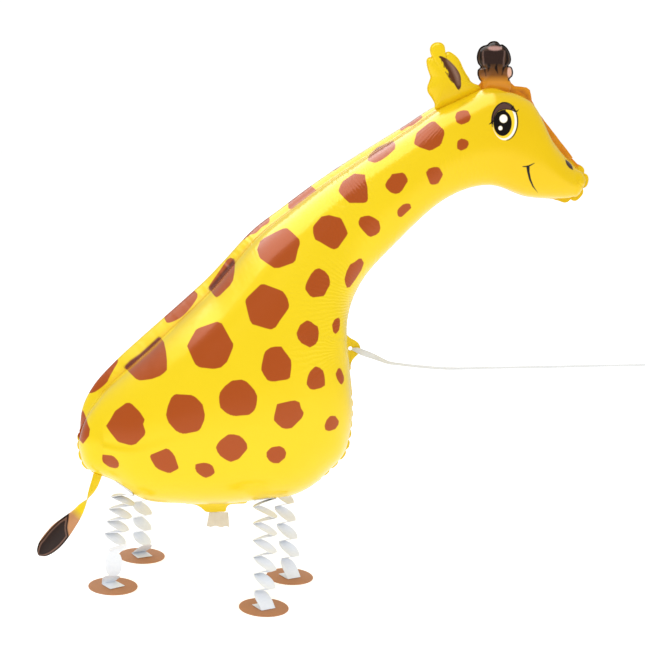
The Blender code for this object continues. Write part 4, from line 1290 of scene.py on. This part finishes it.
# Legs
# Each leg is one strip of stiff white paper, folded to and fro like an accordion. Its panels are cut
# narrower at the folds; its top tab is glued under the belly and its last one lies on the card foot.
HEIGHT = 0.757
GAP = 0.0003
STRIP_WIDTH = 0.023
FOLD_WIDTH = 0.010
STRIP_THICKNESS = 0.0008
PANEL_LENGTH = 0.033
TOP_TAB_LENGTH = 0.030
FOOT_TAB_LENGTH = 0.022
KNEE_HEIGHT = 0.017
KNEE_TURN = -94
KNEE_OFFSET = 0.004
FOOT_THICKNESS = 0.0012
MOTTLES_PER_METRE = 260.0
PANEL_STEPS = 10
ACROSS_STEPS = 6
PANEL_CROWN = 0.0011
LEAF_POWER = 0.55
FOOT_END_SHARE = 0.92
# Where each strip is glued and where it stands, in millimetres; its number of folds, the drop to the first
# and the height of the lowest; its turn at the top, down the leg and at the foot, in degrees; and the end
# of its top tab that it leaves from.
LEGS = {
    "right_rear": ((-243, -32), (-254, -29), 8, 0.004, 0.064, (-12, -48, -55), 1),
    "left_rear": ((-220, 32), (-217, 95), 7, 0.012, 0.022, (-50, -64, -64), -1),
    "right_front": ((-55, -32), (-54, -95), 11, 0.006, 0.019, (-10, -62, -62), 1),
    "left_front": ((-28, 32), (-9, 24), 9, 0.010, 0.022, (-50, -62, -62), 1),
}
# Uncoated white paper: matt and faintly mottled, every 4 mm or so, and painted a little bluer near the
# floor, as painted light.
paper, shader = new_material("leg_paper", 0.72)
place = add_node(paper, "ShaderNodeTexCoord").outputs["Object"]
height_of = add_node(paper, "ShaderNodeSeparateXYZ", {0: place}).outputs["Z"]
leg_rise = {"Value": height_of, "From Min": 0.01, "From Max": 0.11}
warm_light_share = add_node(paper, "ShaderNodeMapRange", leg_rise).outputs[0]
mottles = {"Vector": place, "Scale": MOTTLES_PER_METRE, "Detail": 4.0}
mottle = add_node(paper, "ShaderNodeTexNoise", mottles)
# Painted light: the paper is cooler near the floor and warmer up by the belly.
cool_lit = blend_colours(paper, mottle.outputs["Fac"], colour("E2E8F0"), colour("F0F4F9"))
warm_lit = blend_colours(paper, mottle.outputs["Fac"], colour("E6E8EC"), colour("F3F4F6"))
shade = blend_colours(paper, warm_light_share, cool_lit, warm_lit)
paper.node_tree.links.new(shade, shader.inputs["Base Color"])
lay_bump(paper, shader, mottle.outputs["Fac"], 0.2, 0.0003)

work = bmesh.new()
work.from_mesh(envelope_mesh)
belly_tree = BVHTree.FromBMesh(work)
work.free()


def level(degrees):
    return Vector((math.cos(math.radians(degrees)), math.sin(math.radians(degrees)), 0))


def leg_folds(glued, stands, folds, first_drop, low_fold, turns, side):
    """The middle of each fold of a strip, and the direction of its crease."""
    below = Vector((glued[0] * MM, glued[1] * MM, -HEIGHT))
    place, normal, _, _ = belly_tree.ray_cast(below, Vector((0, 0, 1)))
    if normal.z > 0:
        normal = -normal
    turn_top, turn_low, turn_foot = turns
    facing = level(turn_top)
    along = (facing - normal * facing.dot(normal)).normalized()
    crease = normal.cross(along)
    if crease.dot(level(turn_top + 90)) < 0:
        crease = -crease
    seat = place + normal * (GAP + STRIP_THICKNESS)
    rows = [(seat + along * side * way * TOP_TAB_LENGTH / 2, crease) for way in (-1, 1)]
    foot = Vector((stands[0] * MM, stands[1] * MM, FOOT_THICKNESS + GAP + STRIP_THICKNESS))
    first_z = min(row[0].z for row in rows) - first_drop
    pitch = (first_z - low_fold) / (folds - 1)
    reach = math.sqrt(max(PANEL_LENGTH**2 - pitch**2, (PANEL_LENGTH / 2) ** 2)) / 2
    for i in range(1, folds + 1):
        side = -side
        share = i / folds
        turn = turn_top + (turn_low - turn_top) * share
        centre = seat.lerp(foot, share)
        centre.z = first_z - pitch * (i - 1)
        rows.append((centre + level(turn) * side * reach, level(turn + 90)))
    out, crease = level(turn_foot), level(turn_foot + 90)
    if low_fold > PANEL_LENGTH:
        knee = foot + level(KNEE_TURN) * side * KNEE_OFFSET
        for height in (KNEE_HEIGHT + PANEL_LENGTH, KNEE_HEIGHT):
            knee.z = height
            rows.append((knee.copy(), level(KNEE_TURN + 90)))
    rows += [(foot + out * side * way * FOOT_TAB_LENGTH / 2, crease) for way in (-1, 1)]
    return rows


for name, spec in LEGS.items():
    folds = leg_folds(*spec)
    rows = []
    for i, ((a, crease_a), (b, crease_b)) in enumerate(zip(folds[:-1], folds[1:])):
        face = (b - a).cross(crease_a + crease_b).normalized()
        first, final = i == 0, i == len(folds) - 2
        for step in range(PANEL_STEPS):
            share = step / PANEL_STEPS
            leaf = math.sin(math.pi * share) ** LEAF_POWER if share > 0 else 0.0
            if (first and share < 0.5) or (final and share > 0.5):
                leaf = 1.0
            foot_end = STRIP_WIDTH * FOOT_END_SHARE
            ends = [foot_end if k >= len(folds) - 2 else FOLD_WIDTH for k in (i, i + 1)]
            narrow = ends[0] + (ends[1] - ends[0]) * share
            width = narrow + (STRIP_WIDTH - narrow) * leaf
            crown = 0.0 if first or final else PANEL_CROWN * math.sin(math.pi * share)
            crease = crease_a.lerp(crease_b, share).normalized()
            rows.append((a.lerp(b, share) + face * crown * (-1) ** i, crease, width))
    rows.append((*folds[-1], STRIP_WIDTH))
    points = []
    for i, (middle, crease, width) in enumerate(rows):
        ways = []
        if i > 0:
            ways.append((middle - rows[i - 1][0]).normalized())
        if i < len(rows) - 1:
            ways.append((rows[i + 1][0] - middle).normalized())
        normals = [way.cross(crease).normalized() for way in ways]
        mitre = sum(normals, Vector()) / len(normals)
        mitre *= STRIP_THICKNESS * 0.4 / max(mitre.length_squared, 0.12)
        for side in (-1, 1):
            for way in np.linspace(-1, 1, ACROSS_STEPS + 1)[::-side]:
                spot = middle + crease * width / 2 * way
                if i < PANEL_STEPS:
                    glued, under, _, _ = belly_tree.find_nearest(spot)
                    spot = glued + under * (0.0004 + math.copysign(0.0003, side * mitre.dot(under)))
                else:
                    spot = spot + mitre * side
                points.append(spot)
    faces = ring_faces(2 * (ACROSS_STEPS + 1), len(rows))
    leg = new_piece(f"paper_leg_{name}", points, faces, paper, sharp=25)
    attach(leg, "root")
    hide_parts(f"{name}_leg")


# Feet
# Discs of brown card, punched out, that lie flat on the floor. The punch has rounded their edges a little.
FOOT_RADIUS = 0.033
FOOT_EDGE = 0.0004
FIBRE_PER_METRE = 420.0
STAINS_PER_METRE = 30.0
# Pressed card, brown all through: matt, with a grain of short fibres about 2.4 mm apart, as coarse as they
# need to be to show, and wide, faint stains.
card, shader = new_material("foot_card", 0.82)
place = add_node(card, "ShaderNodeTexCoord").outputs["Object"]
grain = {"Vector": place, "Scale": FIBRE_PER_METRE, "Detail": 5.0, "Roughness": 0.7}
fibre = add_node(card, "ShaderNodeTexNoise", grain)
stain = add_node(card, "ShaderNodeTexNoise", {"Vector": place, "Scale": STAINS_PER_METRE, "Detail": 2.0})
shade = blend_colours(card, fibre.outputs["Fac"], colour("9A6642"), colour("C48E64"))
shade = blend_colours(card, stain.outputs["Fac"], shade, colour("B87E52"))
card.node_tree.links.new(shade, shader.inputs["Base Color"])
lay_bump(card, shader, fibre.outputs["Fac"], 0.25, 0.0003)
for name, spec in LEGS.items():
    foot_x, foot_y = spec[1]
    bpy.ops.mesh.primitive_cylinder_add(
        vertices=96, radius=FOOT_RADIUS, depth=FOOT_THICKNESS,
        location=(foot_x * MM, foot_y * MM, FOOT_THICKNESS / 2),
    )
    foot = bpy.context.object
    foot.name = f"card_foot_{name}"
    bpy.ops.object.transform_apply(location=True, rotation=True, scale=True)
    edge = foot.modifiers.new("edge", "BEVEL")
    edge.width = FOOT_EDGE
    edge.segments = 3
    bpy.ops.object.modifier_apply(modifier="edge")
    foot.data.materials.clear()
    foot.data.materials.append(card)
    foot.data.shade_smooth()
    foot.data.set_sharp_from_angle(angle=math.radians(30))
    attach(foot, "root")
    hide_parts(f"{name}_foot")


# Studio
# A plain white floor and large soft lights all round, as on a product table.
floor_white, shader = new_material("floor_white", 1.0, Specular_IOR_Level=0.0)
shader.inputs["Base Color"].default_value = colour("FFFFFF")
shader.inputs["Emission Color"].default_value = colour("FFFFFF")
shader.inputs["Emission Strength"].default_value = 0.25
bpy.ops.mesh.primitive_plane_add(size=16, location=(0, 0, 0))
floor = bpy.context.object
floor.name = "studio_floor"
floor.data.materials.append(floor_white)
floor.visible_glossy = False

world = bpy.data.worlds.new("studio")
world.use_nodes = True
backdrop = world.node_tree.nodes["Background"]
backdrop.inputs["Color"].default_value = colour("FFFFFF")
# Seen straight on, the backdrop is plain white. In the foil it is dim, brighter beyond the giraffe and
# brightest below it, so that the foil keeps its own yellow.
rays = add_node(world, "ShaderNodeLightPath")
seen = add_node(world, "ShaderNodeNewGeometry")
toward = add_node(world, "ShaderNodeSeparateXYZ", {0: seen.outputs["Incoming"]})
behind = {"Value": toward.outputs["Y"], "From Min": 0.5, "From Max": -0.6, "To Min": 0.12, "To Max": 0.42}
shown_back = add_node(world, "ShaderNodeMapRange", behind)
under = {"Value": toward.outputs["Z"], "From Min": 0.10, "From Max": 0.36, "To Min": 0.0, "To Max": 0.8}
shown_floor = add_node(world, "ShaderNodeMapRange", under)
both = add_node(world, "ShaderNodeMath", {0: shown_back.outputs[0], 1: shown_floor.outputs[0]})
lit = {"Value": rays.outputs["Is Glossy Ray"], "To Min": 1.02, "To Max": both.outputs[0]}
lit_by = add_node(world, "ShaderNodeMapRange", lit)
world.node_tree.links.new(lit_by.outputs[0], backdrop.inputs["Strength"])
bpy.context.scene.world = world
bpy.context.scene.view_settings.view_transform = "Standard"


def soft_light(name, place, aim, size, power, shows_in_foil=True):
    data = bpy.data.lights.new(name, "AREA")
    data.shape = "RECTANGLE"
    data.size, data.size_y = size
    data.energy = power
    light = bpy.data.objects.new(name, data)
    bpy.context.scene.collection.objects.link(light)
    light.location = place
    light.rotation_euler = (Vector(aim) - Vector(place)).to_track_quat("-Z", "Y").to_euler()
    light.visible_glossy = shows_in_foil
    return light


soft_light("key", (-1.3, -2.2, 1.9), (0, 0, 0.40), size=(1.2, 1.2), power=8.5, shows_in_foil=False)
soft_light("top", (0, 0.4, 2.6), (0, 0, 0.3), size=(2.4, 2.0), power=5, shows_in_foil=False)
# One large soft box shows in the foil alone, as the long pale highlight down the back.
overhead = soft_light("overhead", (-1.25, 1.60, 2.6), (-1.25, 1.60, 0), size=(3.6, 5.0), power=165)
overhead.visible_diffuse = False
